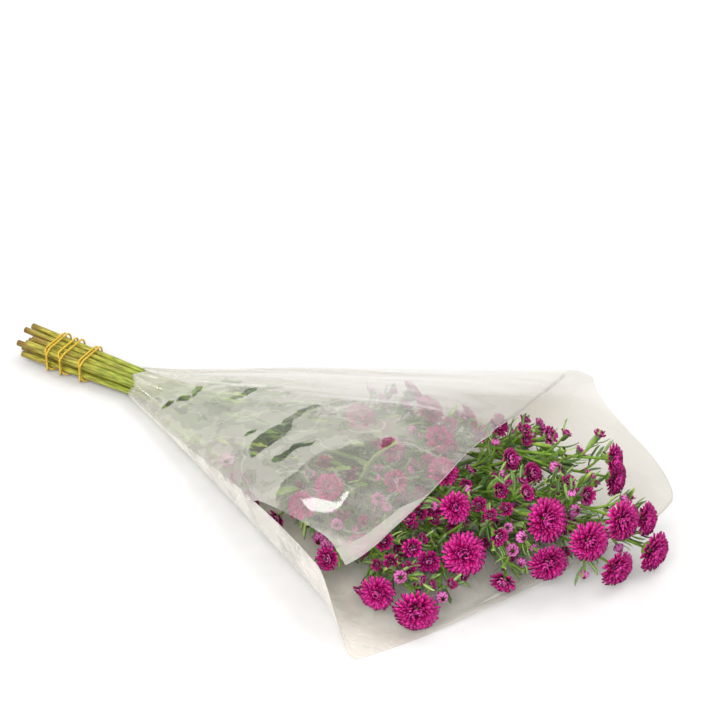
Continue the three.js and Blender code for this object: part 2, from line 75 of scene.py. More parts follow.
lens_data = bpy.data.cameras.new("studio_camera")
lens_data.lens = 108.75
lens_data.sensor_width = 36
lens_data.clip_start = 0.01
lens_data.clip_end = 50
camera = in_scene("studio_camera", lens_data)
camera.location = CAMERA_PLACE
camera.rotation_euler = (radians(90 - LOOKS_DOWN), 0, radians(TURNED))
bpy.context.scene.camera = camera
print("camera, metres from the origin:", round(camera.location.length, 2))

# %% [markdown]
# A plant is easiest to plan in millimetres, from the cut ends of its stems. So each shape below is
# worked out in that frame, and `finished_piece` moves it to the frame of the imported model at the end,
# in metres, with its place in its mesh. It also sets smooth shading and lets the piece ride on the
# only body of this object, which is called root.

# %% Units, and how a shape becomes a piece
MM = 0.001
CUT_ENDS = Vector((-281.216, -0.115, 0))  # where the cut ends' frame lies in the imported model, in mm
TO_ROW = Matrix.Scale(MM, 4) @ Matrix.Translation(CUT_ENDS)
UP = Vector((0, 0, 1))
GAP = 0.35  # clear space between two pieces that touch on the real bunch


def mesh_of(bm, name):
    """Turns a bmesh into a mesh"""
    mesh = bpy.data.meshes.new(name)
    bm.to_mesh(mesh)
    bm.free()
    return mesh


def finished_piece(name, bm, materials, slot, *nodes):
    """Turns a bmesh in millimetres into a piece that stands for the CAD nodes given"""
    bm.transform(TO_ROW)
    mesh = mesh_of(bm, name)
    mesh.shade_smooth()
    for material in materials:
        mesh.materials.append(material)
    piece = in_scene(name, mesh)
    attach(piece, "root")
    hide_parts(*nodes)
    return piece


def draws_from(seed):
    """A seeded row of numbers from 0 to 1, the same on every run"""
    state = seed
    while True:
        state = (state * 1664525 + 1013904223) % 2**32
        yield state / 2**32


def lerp(a, b, t):
    return a + (b - a) * t


def smooth(t):
    share = min(1, max(0, t))
    return share * share * (3 - 2 * share)


# %% [markdown]
# Every finish is made of nodes. One function adds a node, sets it and links it, and another turns the
# usual sRGB hex colour into the linear numbers that the shader needs. A pattern reads the place on
# the object in metres, so a detail of so many millimetres needs a scale of a thousand over that size.

# %% Helpers for the materials
def linear(hex_colour):
    """An sRGB colour such as C4127E as linear red, green, blue and alpha"""
    parts = [int(hex_colour[i:i + 2], 16) / 255 for i in (0, 2, 4)]
    return [p / 12.92 if p <= 0.04045 else ((p + 0.055) / 1.055) ** 2.4 for p in parts] + [1]


def add_node(tree, kind, values=(), links=(), **settings):
    """Adds a node of this kind with its settings, the values of its sockets, and links into them"""
    node = tree.nodes.new("ShaderNode" + kind)
    for name, setting in settings.items():
        setattr(node, name, setting)
    for socket, value in dict(values).items():
        node.inputs[socket].default_value = value
    for socket, source in dict(links).items():
        tree.links.new(source, node.inputs[socket])
    return node


def new_material(name):
    """A material with an empty node tree, and that tree"""
    material = bpy.data.materials.new(name)
    material.use_nodes = True
    material.node_tree.nodes.clear()
    return material, material.node_tree


def attribute(tree, name):
    """What the mesh says about each point under this name, as a number"""
    return add_node(tree, "Attribute", attribute_name=name).outputs["Fac"]


def grain(tree, size, detail=2.0, stretch=(1, 1, 1)):
    """Cloudy noise with lumps of this size in millimetres, drawn out along an axis by its stretch"""
    place = add_node(tree, "TexCoord").outputs["Object"]
    scale = [1 / s for s in stretch]
    drawn = add_node(tree, "Mapping", {"Scale": scale}, {"Vector": place})
    lumps = {"Scale": 1 / (size * MM), "Detail": detail}
    return add_node(tree, "TexNoise", lumps, {"Vector": drawn.outputs[0]}).outputs["Fac"]


def ramp(tree, source, *stops):
    """Colours along a number, each stop a place from 0 to 1 and a hex colour"""
    node = add_node(tree, "ValToRGB", {}, {"Fac": source})
    while len(node.color_ramp.elements) < len(stops):
        node.color_ramp.elements.new(0.5)
    for element, (place, colour) in zip(node.color_ramp.elements, stops):
        element.position = place
        element.color = linear(colour)
    return node.outputs["Color"]


def mixed(tree, share, first, second, blend="MIX"):
    """Two colours mixed by a share, which may be a number or a socket"""
    node = add_node(tree, "Mix", data_type="RGBA", blend_type=blend)
    for socket, source in ((0, share), (6, first), (7, second)):
        if isinstance(source, (int, float, list)):
            node.inputs[socket].default_value = source
        else:
            tree.links.new(source, node.inputs[socket])
    return node.outputs[2]


def sum_of(tree, operation, first, second):
    """Two numbers joined by an operation such as MULTIPLY; each is a number or a socket"""
    node = add_node(tree, "Math", operation=operation)
    for socket, source in enumerate((first, second)):
        if isinstance(source, (int, float)):
            node.inputs[socket].default_value = source
        else:
            tree.links.new(source, node.inputs[socket])
    return node.outputs[0]


def product(tree, first, *factors):
    """Numbers multiplied one after another"""
    for factor in factors:
        first = sum_of(tree, "MULTIPLY", first, factor)
    return first


def finish_with(tree, values, colour, bump=None, depth=0.0):
    """Ends a tree in a Principled shader with this colour and a bump of this depth in millimetres"""
    shader = add_node(tree, "BsdfPrincipled", values, {"Base Color": colour})
    if bump is not None:
        raised = add_node(tree, "Bump", {"Strength": 1.0, "Distance": depth * MM}, {"Height": bump})
        tree.links.new(raised.outputs[0], shader.inputs["Normal"])
    add_node(tree, "OutputMaterial", {}, {"Surface": shader.outputs[0]})


# %% [markdown]
# The petal of an aster is a soft strap, velvety on its face and paler, almost lilac, on its back. Its
# foot, deep in the bloom, is painted nearly purple-black: painted shade, because little light leaves
# it. Fine furrows run along it about 0.4 mm apart. The mesh carries four numbers for each point: how
# far along the blade it lies, how far across, whether it is on the back, and a tone that differs from
# blade to blade.

# %% Petal
FURROWS = 14.0  # radians from the middle of a petal to its margin


def petal_material(name, face_stops, back_stops):
    material, tree = new_material(name)
    along = attribute(tree, "along")
    # the first, darkest stop of each ramp, at the foot of the petal, is painted shade
    face = ramp(tree, along, *face_stops)
    back = ramp(tree, along, *back_stops)
    colour = mixed(tree, attribute(tree, "back"), face, back)
    shade = ramp(tree, attribute(tree, "tone"), (0.0, "C6B6C0"), (0.5, "F2EEF0"), (1.0, "FFFFFF"))
    colour = mixed(tree, 1.0, colour, shade, "MULTIPLY")
    furrows = sum_of(tree, "SINE", product(tree, attribute(tree, "across"), FURROWS), 0.0)
    values = {
        "Roughness": 0.5,
        "Specular IOR Level": 0.22,
        "Sheen Weight": 0.16,
        "Sheen Roughness": 0.35,
        "Sheen Tint": linear("FF5CC0"),
    }
    finish_with(tree, values, colour, furrows, 0.06)
    return material


# the dark first stops below are painted shade deep in the bloom
open_petal = petal_material(
    "open_petal_velvet",
    ((0.0, "42021F"), (0.3, "A8065C"), (0.65, "DA1086"), (1.0, "F24CB0")),
    ((0.0, "620C42"), (0.4, "B81E80"), (1.0, "E658B4")),
)
young_petal = petal_material(
    "young_petal_velvet",
    ((0.0, "3A041E"), (0.35, "9A0858"), (0.7, "D21484"), (1.0, "F04CAE")),
    ((0.0, "8A2A70"), (0.35, "BE5AAE"), (1.0, "EAA6DC")),
)

# %% [markdown]
# The florets in the middle of the bloom haven't opened: they are a dark, almost black, maroon button
# with a hint of green where the youngest stand.

# %% Unopened florets
def floret_material():
    material, tree = new_material("unopened_floret_button")
    lumps = grain(tree, 0.7, 1.0)
    colour = ramp(tree, lumps, (0.3, "1E0710"), (0.6, "401024"), (0.85, "56561E"))
    finish_with(tree, {"Roughness": 0.6}, colour, lumps, 0.15)
    return material


floret_button = floret_material()

# %% [markdown]
# A leaf is a waxy blade with a pale midrib and finer veins that leave it at an angle. The veins are
# drawn with the numbers along and across the blade, so they follow each leaf however it bends. The
# back is greyer than the face. The wax gives a soft gloss.

# %% Leaf and bract
VEINS = 70.0  # radians along a leaf, which makes eleven pairs of veins
VEIN_SLANT = 0.16


def leaf_material():
    material, tree = new_material("waxy_aster_leaf")
    along = attribute(tree, "along")
    across = attribute(tree, "across")
    tone = attribute(tree, "tone")
    face = ramp(tree, tone, (0.0, "2E540E"), (0.35, "54821A"), (0.7, "88B234"), (1.0, "C2DA6A"))
    back = ramp(tree, tone, (0.0, "5E7F46"), (1.0, "A2BE80"))
    colour = mixed(tree, attribute(tree, "back"), face, back)
    slanted = sum_of(tree, "SUBTRACT", along, product(tree, across, VEIN_SLANT))
    waves = sum_of(tree, "SINE", product(tree, slanted, VEINS), 0.0)
    veins = ramp(tree, waves, (0.86, "000000"), (0.98, "3A3A3A"))
    rib = ramp(tree, across, (0.03, "B0B0B0"), (0.14, "000000"))
    pale = mixed(tree, 1.0, veins, rib, "LIGHTEN")
    colour = mixed(tree, pale, colour, linear("A9C47A"))
    cloud = ramp(tree, grain(tree, 6.0), (0.3, "C8D0C0"), (0.7, "FFFFFF"))
    colour = mixed(tree, 1.0, colour, cloud, "MULTIPLY")
    relief = sum_of(tree, "SUBTRACT", 0.0, pale)
    values = {"Roughness": 0.42, "Specular IOR Level": 0.45, "Sheen Weight": 0.1}
    finish_with(tree, values, colour, relief, 0.25)
    return material


waxy_leaf = leaf_material()

# %% [markdown]
# The skin of a stem changes along its length. Near the cut it is old: olive and yellow with brown
# patches and fine lengthwise cracks. Up in the spray it is a fresh light green. The place along X
# tells the two apart, and noise drawn out ten times along X gives the streaks.

# %% Stem skin
OLD_TO_FRESH = {"From Min": -0.24, "From Max": -0.1}  # metres along X
DRIED_NEAR_CUT = {"From Min": -0.262, "From Max": -0.276}


def stem_material():
    material, tree = new_material("ribbed_stem_skin")
    streaks = grain(tree, 1.2, 3.0, (10, 1, 1))
    patches = grain(tree, 6.0, 3.0, (2.5, 1, 1))
    old = ramp(tree, streaks, (0.28, "4E5014"), (0.45, "86802A"), (0.58, "A69C3A"), (0.75, "C8B85A"))
    stains = ramp(tree, patches, (0.52, "000000"), (0.6, "D8D8D8"))
    old = mixed(tree, stains, old, linear("7C5E2C"))
    fresh = ramp(tree, streaks, (0.25, "527424"), (0.55, "749634"), (0.8, "98B454"))
    place = add_node(tree, "TexCoord").outputs["Object"]
    x = add_node(tree, "SeparateXYZ", {}, {"Vector": place}).outputs["X"]
    age = add_node(tree, "MapRange", OLD_TO_FRESH, {"Value": x}).outputs[0]
    colour = mixed(tree, age, old, fresh)
    near_cut = add_node(tree, "MapRange", DRIED_NEAR_CUT, {"Value": x}).outputs[0]
    dried = product(tree, near_cut, product(tree, patches, 1.6))
    colour = mixed(tree, dried, colour, linear("6E4E20"))
    finish_with(tree, {"Roughness": 0.5, "Specular IOR Level": 0.4}, colour, streaks, 0.3)
    return material


stem_skin = stem_material()

# %% [markdown]
# A cut end shows the pith: cream in the middle, darker wood round it, browned a little by drying.

# %% Cut pith
def pith_material():
    material, tree = new_material("drying_cut_pith")
    dry = grain(tree, 1.0, 3.0)
    colour = ramp(tree, dry, (0.3, "A9713A"), (0.5, "C9A468"), (0.7, "E4D2A0"))
    finish_with(tree, {"Roughness": 0.8}, colour, dry, 0.15)
    return material


cut_pith = pith_material()

# %% [markdown]
# The rubber bands are plain natural rubber: an ochre yellow with a soft sheen, paler where it is
# dusty.

# %% Rubber
def rubber_material():
    material, tree = new_material("natural_rubber")
    dust = grain(tree, 1.6, 3.0)
    colour = ramp(tree, dust, (0.3, "AA881C"), (0.55, "C4A32A"), (0.8, "DABF50"))
    values = {"Roughness": 0.48, "Subsurface Weight": 0.15, "Subsurface Scale": 0.001}
    finish_with(tree, values, colour, dust, 0.05)
    return material


natural_rubber = rubber_material()

# %% [markdown]
# A blade is the one shape that this object is made of: petals, leaves and bracts are all thin, pointed
# or blunt, bent sheets. Each starts as a grid. Its points are moved by a formula, then a copy of the
# grid goes underneath, a thickness lower in the middle, and the two are welded along their border.
# So every blade is a closed shell with a thin edge, and it costs only a few dozen faces.

# %% A blade
NUMBERS = ("along", "across", "back", "tone")  # what each point of a plant says about itself


def new_plant_bmesh():
    """An empty bmesh whose points carry the four numbers"""
    bm = bmesh.new()
    for name in NUMBERS:
        bm.verts.layers.float.new(name)
    return bm


def blade(across, along, thickness, place):
    """A closed blade as a mesh. place(u, v) gives its face, with u from -1 to 1 across, v from 0 to 1"""
    bm = new_plant_bmesh()
    bmesh.ops.create_grid(bm, x_segments=across, y_segments=along, size=1)
    layers = {name: bm.verts.layers.float[name] for name in NUMBERS}
    for vert in bm.verts:
        u = vert.co.x
        v = (vert.co.y + 1) / 2
        vert[layers["along"]] = v
        vert[layers["across"]] = abs(u)
        vert.co = place(u, v)
    bm.normal_update()
    inner = {vert for vert in bm.verts if not vert.is_boundary}
    copies = bmesh.ops.duplicate(bm, geom=bm.verts[:] + bm.edges[:] + bm.faces[:])
    for vert in inner:
        below = copies["vert_map"][vert]
        below.co = vert.co - vert.normal * thickness
        below[layers["back"]] = 1
    under = [item for item in copies["geom"] if isinstance(item, bmesh.types.BMFace)]
    bmesh.ops.reverse_faces(bm, faces=under)
    bmesh.ops.remove_doubles(bm, verts=bm.verts[:], dist=1e-6)
    return mesh_of(bm, "blade")


def stamp(bm, template, matrix, tone=None, material=None):
    """Adds a copy of a template to a bmesh, placed by a matrix, with a tone and a material if given"""
    copy = template.copy()
    copy.transform(matrix)
    if tone is not None:
        copy.attributes["tone"].data.foreach_set("value", [tone] * len(copy.vertices))
    if material is not None:
        copy.polygons.foreach_set("material_index", [material] * len(copy.polygons))
    bm.from_mesh(copy)
    bpy.data.meshes.remove(copy)


def axes_matrix(origin, x_axis, y_axis, z_axis):
    """The matrix that puts the three axes of a template along these, scaled by their lengths"""
    matrix = Matrix((x_axis, y_axis, z_axis)).transposed().to_4x4()
    matrix.translation = origin
    return matrix


# %% [markdown]
# A double bloom is rings of petals on a small dome. The outer ones lie almost flat and arch outwards,
# the inner ones stand up and bend inwards, and the reach of each ring gives the bloom its rounded
# outline. The petals of one ring are alike, so one blade is made for each ring, for a bloom that is
# one unit in radius. Small blooms have only half opened: their petals are fewer, wider and steeper.

# %% The petals of each kind of bloom
BLOOM_KINDS = [
    SimpleNamespace(above=12, counts=(27, 26, 25, 22, 18, 13, 8), width=0.19, closed=0.0, eye=0.13),
    SimpleNamespace(above=10.4, counts=(20, 20, 18, 15, 11, 7), width=0.235, closed=0.05, eye=0.16),
    SimpleNamespace(above=8.6, counts=(16, 15, 13, 9), width=0.29, closed=0.2, eye=0.24),
    SimpleNamespace(above=0, counts=(13, 12, 9), width=0.34, closed=0.35, eye=0.28),
]
HALF_OPEN = 10.4  # mm; a bloom of at most this radius still shows the lilac backs of its petals
PETAL_THICKNESS = 0.022  # of the bloom's radius
CORE_RADIUS = 0.36
FLATTEST = 0.05  # how far the outermost petals rise, in radians
STEEPEST = 1.3


def petal_template(kind, ring):
    """One petal of a ring, along +X from the axis of a bloom whose radius is 1 and which faces +Z"""
    rise = ring / (len(kind.counts) - 1)
    lift = lerp(FLATTEST, STEEPEST, rise) + kind.closed * (1 - rise)
    reach = 1 - 0.48 * rise
    foot = Vector((CORE_RADIUS * 0.8 * cos(rise * 1.25), 0, 0.02 + 0.36 * sin(rise * 1.35)))
    tip = Vector((reach * cos(lift), 0, 0.1 + reach * sin(lift)))
    chord = tip - foot
    bulge = Vector((-chord.z, 0, chord.x)).normalized() * (0.13 - 0.3 * rise - 0.35 * kind.closed)
    middle = (foot + tip) / 2 + bulge
    half = kind.width / 2

    def place(u, v):
        centre = foot.lerp(middle, v).lerp(middle.lerp(tip, v), v)
        heading = (middle - foot).lerp(tip - middle, v).normalized()
        normal = Vector((-heading.z, 0, heading.x))
        wide = half * (0.45 + 0.55 * smooth(v / 0.75)) * (0.8 if v > 0.99 else 1)
        hollow = 0.6 * half * u * u
        blunt = heading * (0.03 * (1 - u * u) if v > 0.99 else 0)
        return centre + normal * hollow + blunt + Vector((0, -u * wide, 0))

    return blade(2, 5, PETAL_THICKNESS, place)


for kind in BLOOM_KINDS:
    kind.petals = [petal_template(kind, ring) for ring in range(len(kind.counts))]
print("petals of each ring:", [kind.counts for kind in BLOOM_KINDS])

# %% [markdown]
# The unopened florets are a low dome: a sphere with small knobs that noise gives it. It is made one
# unit in radius, and the eye of a half-open bloom is larger than that of a full one.

# %% The button in the middle
KNOBS = 3  # how many times over its radius the noise changes
KNOB_HEIGHT = 0.1
NOISE_SEED = 1  # without it, vector noise takes its seed from the clock and differs in each run
noise.seed_set(NOISE_SEED)


def button_template():
    bm = new_plant_bmesh()
    bmesh.ops.create_uvsphere(bm, u_segments=12, v_segments=8, radius=1)
    for vert in bm.verts:
        vert.co += noise.noise_vector(vert.co * KNOBS) * KNOB_HEIGHT
    return mesh_of(bm, "button")


button = button_template()

# %% [markdown]
# A bloom is its petals stamped round the axis. No two petals of a real bloom stand alike, so each is
# turned, tipped and lengthened a little by the seeded draws. Last, a soft noise bends the whole bloom.

# %% A bloom
PETAL_SLOT, BUTTON_SLOT = 0, 1  # the materials of a bloom, by their places in its list
BENDS = 2.2  # how many times over its radius the noise bends a bloom
BEND_REACH = 0.045  # and how far, as a share of it


def add_bloom(bm, radius, matrix, draw, slots=(PETAL_SLOT, BUTTON_SLOT)):
    """Adds a bloom of this radius whose base the matrix puts in place, facing its Z axis"""
    kind = next(k for k in BLOOM_KINDS if radius > k.above)
    before = len(bm.verts)
    size = Matrix.Scale(radius, 4)
    eye = Matrix.Translation((0, 0, 0.36)) @ Matrix.Scale(kind.eye, 4)
    stamp(bm, button, matrix @ size @ eye, 0.5, slots[1])
    for ring, (count, template) in enumerate(zip(kind.counts, kind.petals)):
        for j in range(count):
            turn = 2 * pi * (j + 0.5 + ring / 2 + 0.3 * (next(draw) - 0.5)) / count
            tip_up = Matrix.Rotation(0.13 * (next(draw) - 0.5), 4, "Y")
            roll = Matrix.Rotation(0.4 * (next(draw) - 0.5), 4, "X")
            length = Matrix.Scale(0.94 + 0.08 * next(draw), 4)
            petal = Matrix.Rotation(turn, 4, "Z") @ tip_up @ roll @ length
            stamp(bm, template, matrix @ size @ petal, next(draw), slots[0])
    offset = Vector((50 * next(draw), 50 * next(draw), 50 * next(draw)))
    for vert in bm.verts[before:]:
        vert.co += noise.noise_vector(vert.co * (BENDS / radius) + offset) * (BEND_REACH * radius)


# %% [markdown]
# The plan of the bunch is a short table for each stem: where its blooms are, how wide they are, and
# which way they face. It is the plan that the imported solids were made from, so the finer pieces land
# on them. The stems pass the neck of the sleeve packed like a bundle of rods, and splay a little
# towards their cut ends.

# %% The plan of the bunch, in millimetres from the cut ends
STEM_RADIUS = 2.7
TIP_RADIUS = 1.25  # of a stem or branch just below its bloom
NECK_X = 122
BUNDLE_Z = 10.8  # height of the middle of the bundle at the neck
PITCH = 5.35  # distance between neighbouring stems there
SPLAY = 1.35  # how much wider the bundle is at the cut ends
CUT_RISE = 3  # and how much higher its middle is
UNEVEN = 14  # how far apart the cut ends are along X
SMALLEST_BLOOM = 6.8  # radius under which a bloom is still a bud, part of its stem
NECK_CELLS = [  # y and z of each stem at the neck, in pitches
    [(-1.5, -0.87), (-1, 0), (-0.5, -0.87), (0.5, -0.87), (1, 0), (1.5, -0.87)],
    [(-1.5, 0.87), (-0.5, 0.87), (0, 0), (0.5, 0.87), (1.5, 0.87)],
]
SPRAYS = [  # x, y and z of the base of each bloom, its radius, and its yaw and pitch in degrees
    [
        [(436, -128, 18.5, 16.5, -62, 4), (406, -129, 21, 13, -75, 18), (364, -124, 30, 9.5, -90, 25),
         (322, -90, 36, 11, -80, 40), (421, -124, 38, 5.5, -60, 35)],
        [(474, -68, 16, 10, -80, -5), (426, -92, 30, 9, -60, 30), (371, -94, 24, 9, -70, 30),
         (396, -68, 15.5, 11, -50, 0), (446, -110, 20, 5, -50, 20)],
        [(496, -46, 26, 14.5, -50, 8), (462, -38, 15.5, 8.6, -25, 5), (404, -45, 35, 9, -50, 40),
         (474, -58, 36, 5.5, -60, 30)],
        [(536, -19, 17.5, 14, -25, 2), (488, 0, 24, 9, -20, 10), (496, 15, 38, 5.5, -30, 30)],
        [(551, 9, 18.5, 15.5, -12, 3), (541, 16, 38, 12.5, -5, 14), (436, 24, 20, 9.5, 0, 10),
         (451, 16, 43, 9, -15, 35)],
        [(500, 53, 33, 13.5, 0, 8), (440, 62, 28, 9, 30, 10), (372, 66, 28, 12, 40, 20),
         (420, 92, 20, 9.5, 50, 5), (316, 80, 22, 12, 50, 30)],
    ],
    [
        [(449, -84, 41, 16, -55, 32), (423, -112, 55, 8, -50, 50), (396, -104, 44, 8, -60, 45),
         (340, -84, 55, 11, -60, 55)],
        [(492, -46, 62, 16.5, -28, 28), (437, -76, 72, 11.5, -45, 35), (468, -70, 55, 7.5, -40, 20),
         (384, -66, 66, 9, -50, 50), (411, -46, 71, 11.5, -30, 60)],
        [(519, -30, 43, 15, -45, 18), (473, -40, 73, 7, -10, 45), (452, -38, 66, 7, -30, 40),
         (360, -30, 60, 10.5, -20, 60), (478, -54, 47, 5, -40, 20)],
        [(532, -6, 50, 15, -25, 18), (502, 0, 55, 7.5, -20, 35), (438, 4, 58, 9.5, 0, 35),
         (388, -8, 65, 12, -10, 60), (318, -2, 54, 12, -20, 65), (503, -22, 58, 5, -30, 30)],
        [(504, 37, 64, 11.5, 5, 18), (450, 44, 58, 8, 0, 35), (413, 34, 60, 9.5, -5, 40),
         (356, 34, 52, 12, 10, 55), (466, 24, 50, 5.5, -30, 30)],
    ],
]


def facing(yaw, pitch):
    """The direction at a yaw from +X towards +Y and a pitch upwards, both in degrees"""
    level = cos(radians(pitch))
    return Vector((cos(radians(yaw)) * level, sin(radians(yaw)) * level, sin(radians(pitch))))


def tip_of(name, x, y, z, radius, yaw, pitch):
    """One bloom or opening bud of the plan"""
    is_bud = radius < SMALLEST_BLOOM
    base = Vector((x, y, z))
    return SimpleNamespace(name=name, base=base, face=facing(yaw, pitch), radius=radius, is_bud=is_bud)


def stem_of(row, n, spray):
    """One stem of the plan, with where it is cut and where it passes the neck"""
    y, z = NECK_CELLS[row][n]
    neck = Vector((NECK_X, y * PITCH, BUNDLE_Z + z * PITCH))
    uneven = (UNEVEN / 2) * (1 + sin(5.1 * n + 2.3 * row))
    cut = Vector((uneven, neck.y * SPLAY, BUNDLE_Z + CUT_RISE + (neck.z - BUNDLE_Z) * SPLAY))
    tips = [tip_of(f"bloom_{row}{n}_{k}", *tip) for k, tip in enumerate(spray)]
    return SimpleNamespace(name=f"stem_{row}{n}", cut=cut, neck=neck, tips=tips)


stems = [stem_of(row, n, spray) for row, sprays in enumerate(SPRAYS) for n, spray in enumerate(sprays)]
tips = [tip for stem in stems for tip in stem.tips]
blooms = [tip for tip in tips if not tip.is_bud]
print("stems:", len(stems), "blooms:", len(blooms), "opening buds:", len(tips) - len(blooms))

# %% [markdown]
# The blooms are made first, each in place of its own CAD node. A check that costs one line tells
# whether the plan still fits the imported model: how far the middle of a bloom's box lies from the
# middle of its node's box.

# %% Blooms
def turned_to(heading, foot):
    """The matrix that turns what stands along Z to a heading, and puts its foot in place"""
    return Matrix.Translation(foot) @ UP.rotation_difference(heading).to_matrix().to_4x4()


def bloom_matrix(tip):
    """Where a bloom's base is and which way it faces, a little clear of its cup"""
    return turned_to(tip.face, tip.base + tip.face * GAP)


def middle_of_box(corners):
    low, high = corners
    return (low + high) / 2


off_by = []
for i, tip in enumerate(blooms):
    bm = new_plant_bmesh()
    add_bloom(bm, tip.radius, bloom_matrix(tip), draws_from(300 + 17 * i))
    petals = open_petal if tip.radius > HALF_OPEN else young_petal
    piece = finished_piece(tip.name + "_petals", bm, [petals, floret_button], "petals", tip.name)
    corners = [Vector(corner) for corner in piece.bound_box]
    own = middle_of_box((corners[0], corners[6]))
    off_by.append((own - middle_of_box(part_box(tip.name))).length / MM)
print("blooms:", len(blooms), "furthest from its node, mm:", round(max(off_by), 1))

# %% [markdown]
# A stem is a smooth curve from the neck of the sleeve into the base of its end bloom, and each side
# branch leaves it along its own direction. The leaves were placed on the straight runs between a few
# points of these curves, so the same few points are worked out here. The curve itself is drawn finer.

# %% Lines that things grow on
def rows_of(points):
    """Points as rows of an array"""
    return np.array([tuple(point) for point in points])


class Line:
    """A line through points, measured by its length: at(0) is its start and at(1) its end"""

    def __init__(self, points):
        self.points = rows_of(points)
        steps = np.linalg.norm(np.diff(self.points, axis=0), axis=1)
        self.reached = np.concatenate([[0], np.cumsum(steps)])
        self.length = self.reached[-1]

    def at(self, t):
        d = t * self.length
        return Vector([np.interp(d, self.reached, self.points[:, axis]) for axis in range(3)])

    def tangent(self, t):
        return (self.at(min(1, t + 1e-4)) - self.at(max(0, t - 1e-4))).normalized()

    def spaced(self, count):
        return [self.at(i / count) for i in range(count + 1)]

    def nearest(self, point):
        away = np.linalg.norm(self.points - np.array(point), axis=1)
        return Vector(self.points[np.argmin(away)])


CURVE_STEPS = 200


def bezier(a, b, c, d):
    """A cubic curve as a line of many short steps"""
    points = []
    for i in range(CURVE_STEPS + 1):
        t = i / CURVE_STEPS
        s = 1 - t
        points.append(a * s**3 + b * 3 * t * s**2 + c * 3 * t * t * s + d * t**3)
    return Line(points)


def stem_curve(stem):
    tip = stem.tips[0]
    out = (stem.neck - stem.cut).normalized()
    reach = (tip.base - stem.neck).length
    leaving = (stem.neck + out * (reach * 0.25)).lerp(tip.base, 0.12)
    return bezier(stem.neck, leaving, tip.base - tip.face * (reach * 0.16), tip.base)


def branch_curve(stem_line, tip):
    start = 0.12
    t = start
    while t < 0.9:
        point = stem_line.at(t)
        if point.x < tip.base.x - 38 - 0.25 * (point - tip.base).length:
            start = t
        t += 0.02
    root = stem_line.at(start)
    reach = (tip.base - root).length
    leaving = root + stem_line.tangent(start) * (reach * 0.4)
    return bezier(root, leaving, tip.base - tip.face * (reach * 0.3), tip.base)


# %% [markdown]
# At its end a branch widens into the green cup of its bloom, or into the foot of an opening bud. The
# plain solid has two or four points there; the finer tube has a rounded bowl.

# %% Shoots, as the solid has them and finer
CUP_SHAPE = [(-0.26, 0.33), (0, 0.46)]  # distance along and radius, in shares of the bloom's
BUD_SHAPE = [(-0.3, 0.4), (0.3, 0.95), (0.9, 1), (1.3, 0.5)]
FINE_CUP = [(-0.33, 0.16), (-0.3, 0.25), (-0.24, 0.34), (-0.14, 0.41), (0.0, 0.44)]
FINE_BUD = [(-0.32, 0.2), (-0.28, 0.33), (-0.2, 0.46), (-0.06, 0.56), (0.08, 0.6)]


def run_of(curve, steps, tip):
    """Points along a curve, up to just below the cup or bud at its end"""
    stop = 1 - tip.radius * 0.36 / curve.length
    return [curve.at(stop * i / steps) for i in range(steps + 1)]


def plain_line(curve, steps, tip):
    """The line of the plain solid, on which leaves were placed"""
    shape = BUD_SHAPE if tip.is_bud else CUP_SHAPE
    ends = [tip.base + tip.face * (tip.radius * along) for along, _ in shape]
    return Line(run_of(curve, steps, tip) + ends)


def fine_run(curve, steps, thick, tip):
    """Points and radii of the finer tube, with its rounded cup"""
    points = run_of(curve, steps, tip)
    radii = [lerp(thick, TIP_RADIUS * 0.8, i / steps) for i in range(steps + 1)]
    for along, wide in FINE_BUD if tip.is_bud else FINE_CUP:
        points.append(tip.base + tip.face * (tip.radius * along))
        radii.append(tip.radius * wide)
    return points, radii


# %% [markdown]
# Leaves and buds must not grow through a bloom, a neighbour or the sleeve. The sleeve is known by the
# height of its two sheets, so its form comes here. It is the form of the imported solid: q goes from -1
# at the front crease to 1 at the back one, and x from the neck to the flap.

# %% The form of the sleeve
FILM = 0.6
SLEEVE_START = 112
SLEEVE_RADIUS = 14.5  # half its width round the bundle
FLAP_HALF_WIDTH = 177
BACK_RISE = 9.5  # how far the back crease rises above its height at the neck
FRONT_RISE = 39  # and how far the front one does
TOP_RISE = 72  # and the upper sheet
PEAK = -0.25  # where it is highest, from -1 at the front crease to 1 at the back one
BODY_ROWS = 9  # rows of the solid's grid from the neck to the mouth
SEALED_ROWS = 6  # of which these are sealed along the front
FLAP_ROWS = 4
LIP_RISE = 7  # how far the end of the flap curls up


def fullness(x):
    return smooth((x - SLEEVE_START) / 200)


def half_width(x):
    depth = x - SLEEVE_START
    return min(FLAP_HALF_WIDTH, SLEEVE_RADIUS + 0.5 * depth + 0.00014 * depth**2)


def crease_height(x, q):
    """Height of the front crease for a q below 0, else of the back one"""
    depth = x - SLEEVE_START
    if q < 0:
        rise, along, fall = FRONT_RISE, depth / 260, (x - 372) / 40
    else:
        rise, along, fall = BACK_RISE, depth / 150, (x - 418) / 60
    return max(FILM / 2, (BUNDLE_Z + rise * smooth(along)) * (1 - smooth(fall)))


def lower_sheet(x, q):
    sharp = 2 + (14 if q < 0 else 7) * fullness(x)
    curl = max(0, 1.02 * (1 - sqrt(max(0, 1 - abs(q) ** sharp))) - 0.02)
    return FILM / 2 + (crease_height(x, q) - FILM / 2) * curl


def upper_sheet(x, q):
    peak = PEAK * fullness(x)
    away = min(1, (peak - q) / (1 + peak) if q < peak else (q - peak) / (1 - peak))
    bow = sqrt(1 - away * away)
    share = bow if q < peak else lerp(bow, 1 - away**1.3, fullness(x))
    top = 2 * BUNDLE_Z + TOP_RISE * smooth((x - SLEEVE_START) / 300 + 0.02)
    return crease_height(x, q) + (top - crease_height(x, q)) * share


def mouth_edge(q):
    return 428 - 18 * max(0, q) ** 2 - 46 * max(0, (-0.3 - q) / 0.7) ** 2


def flap_edge(q):
    return 536 - (120 * ((0.5 - q) / 1.5) ** 1.6 if q < 0.5 else 108 * (2 * q - 1) ** 1.5)


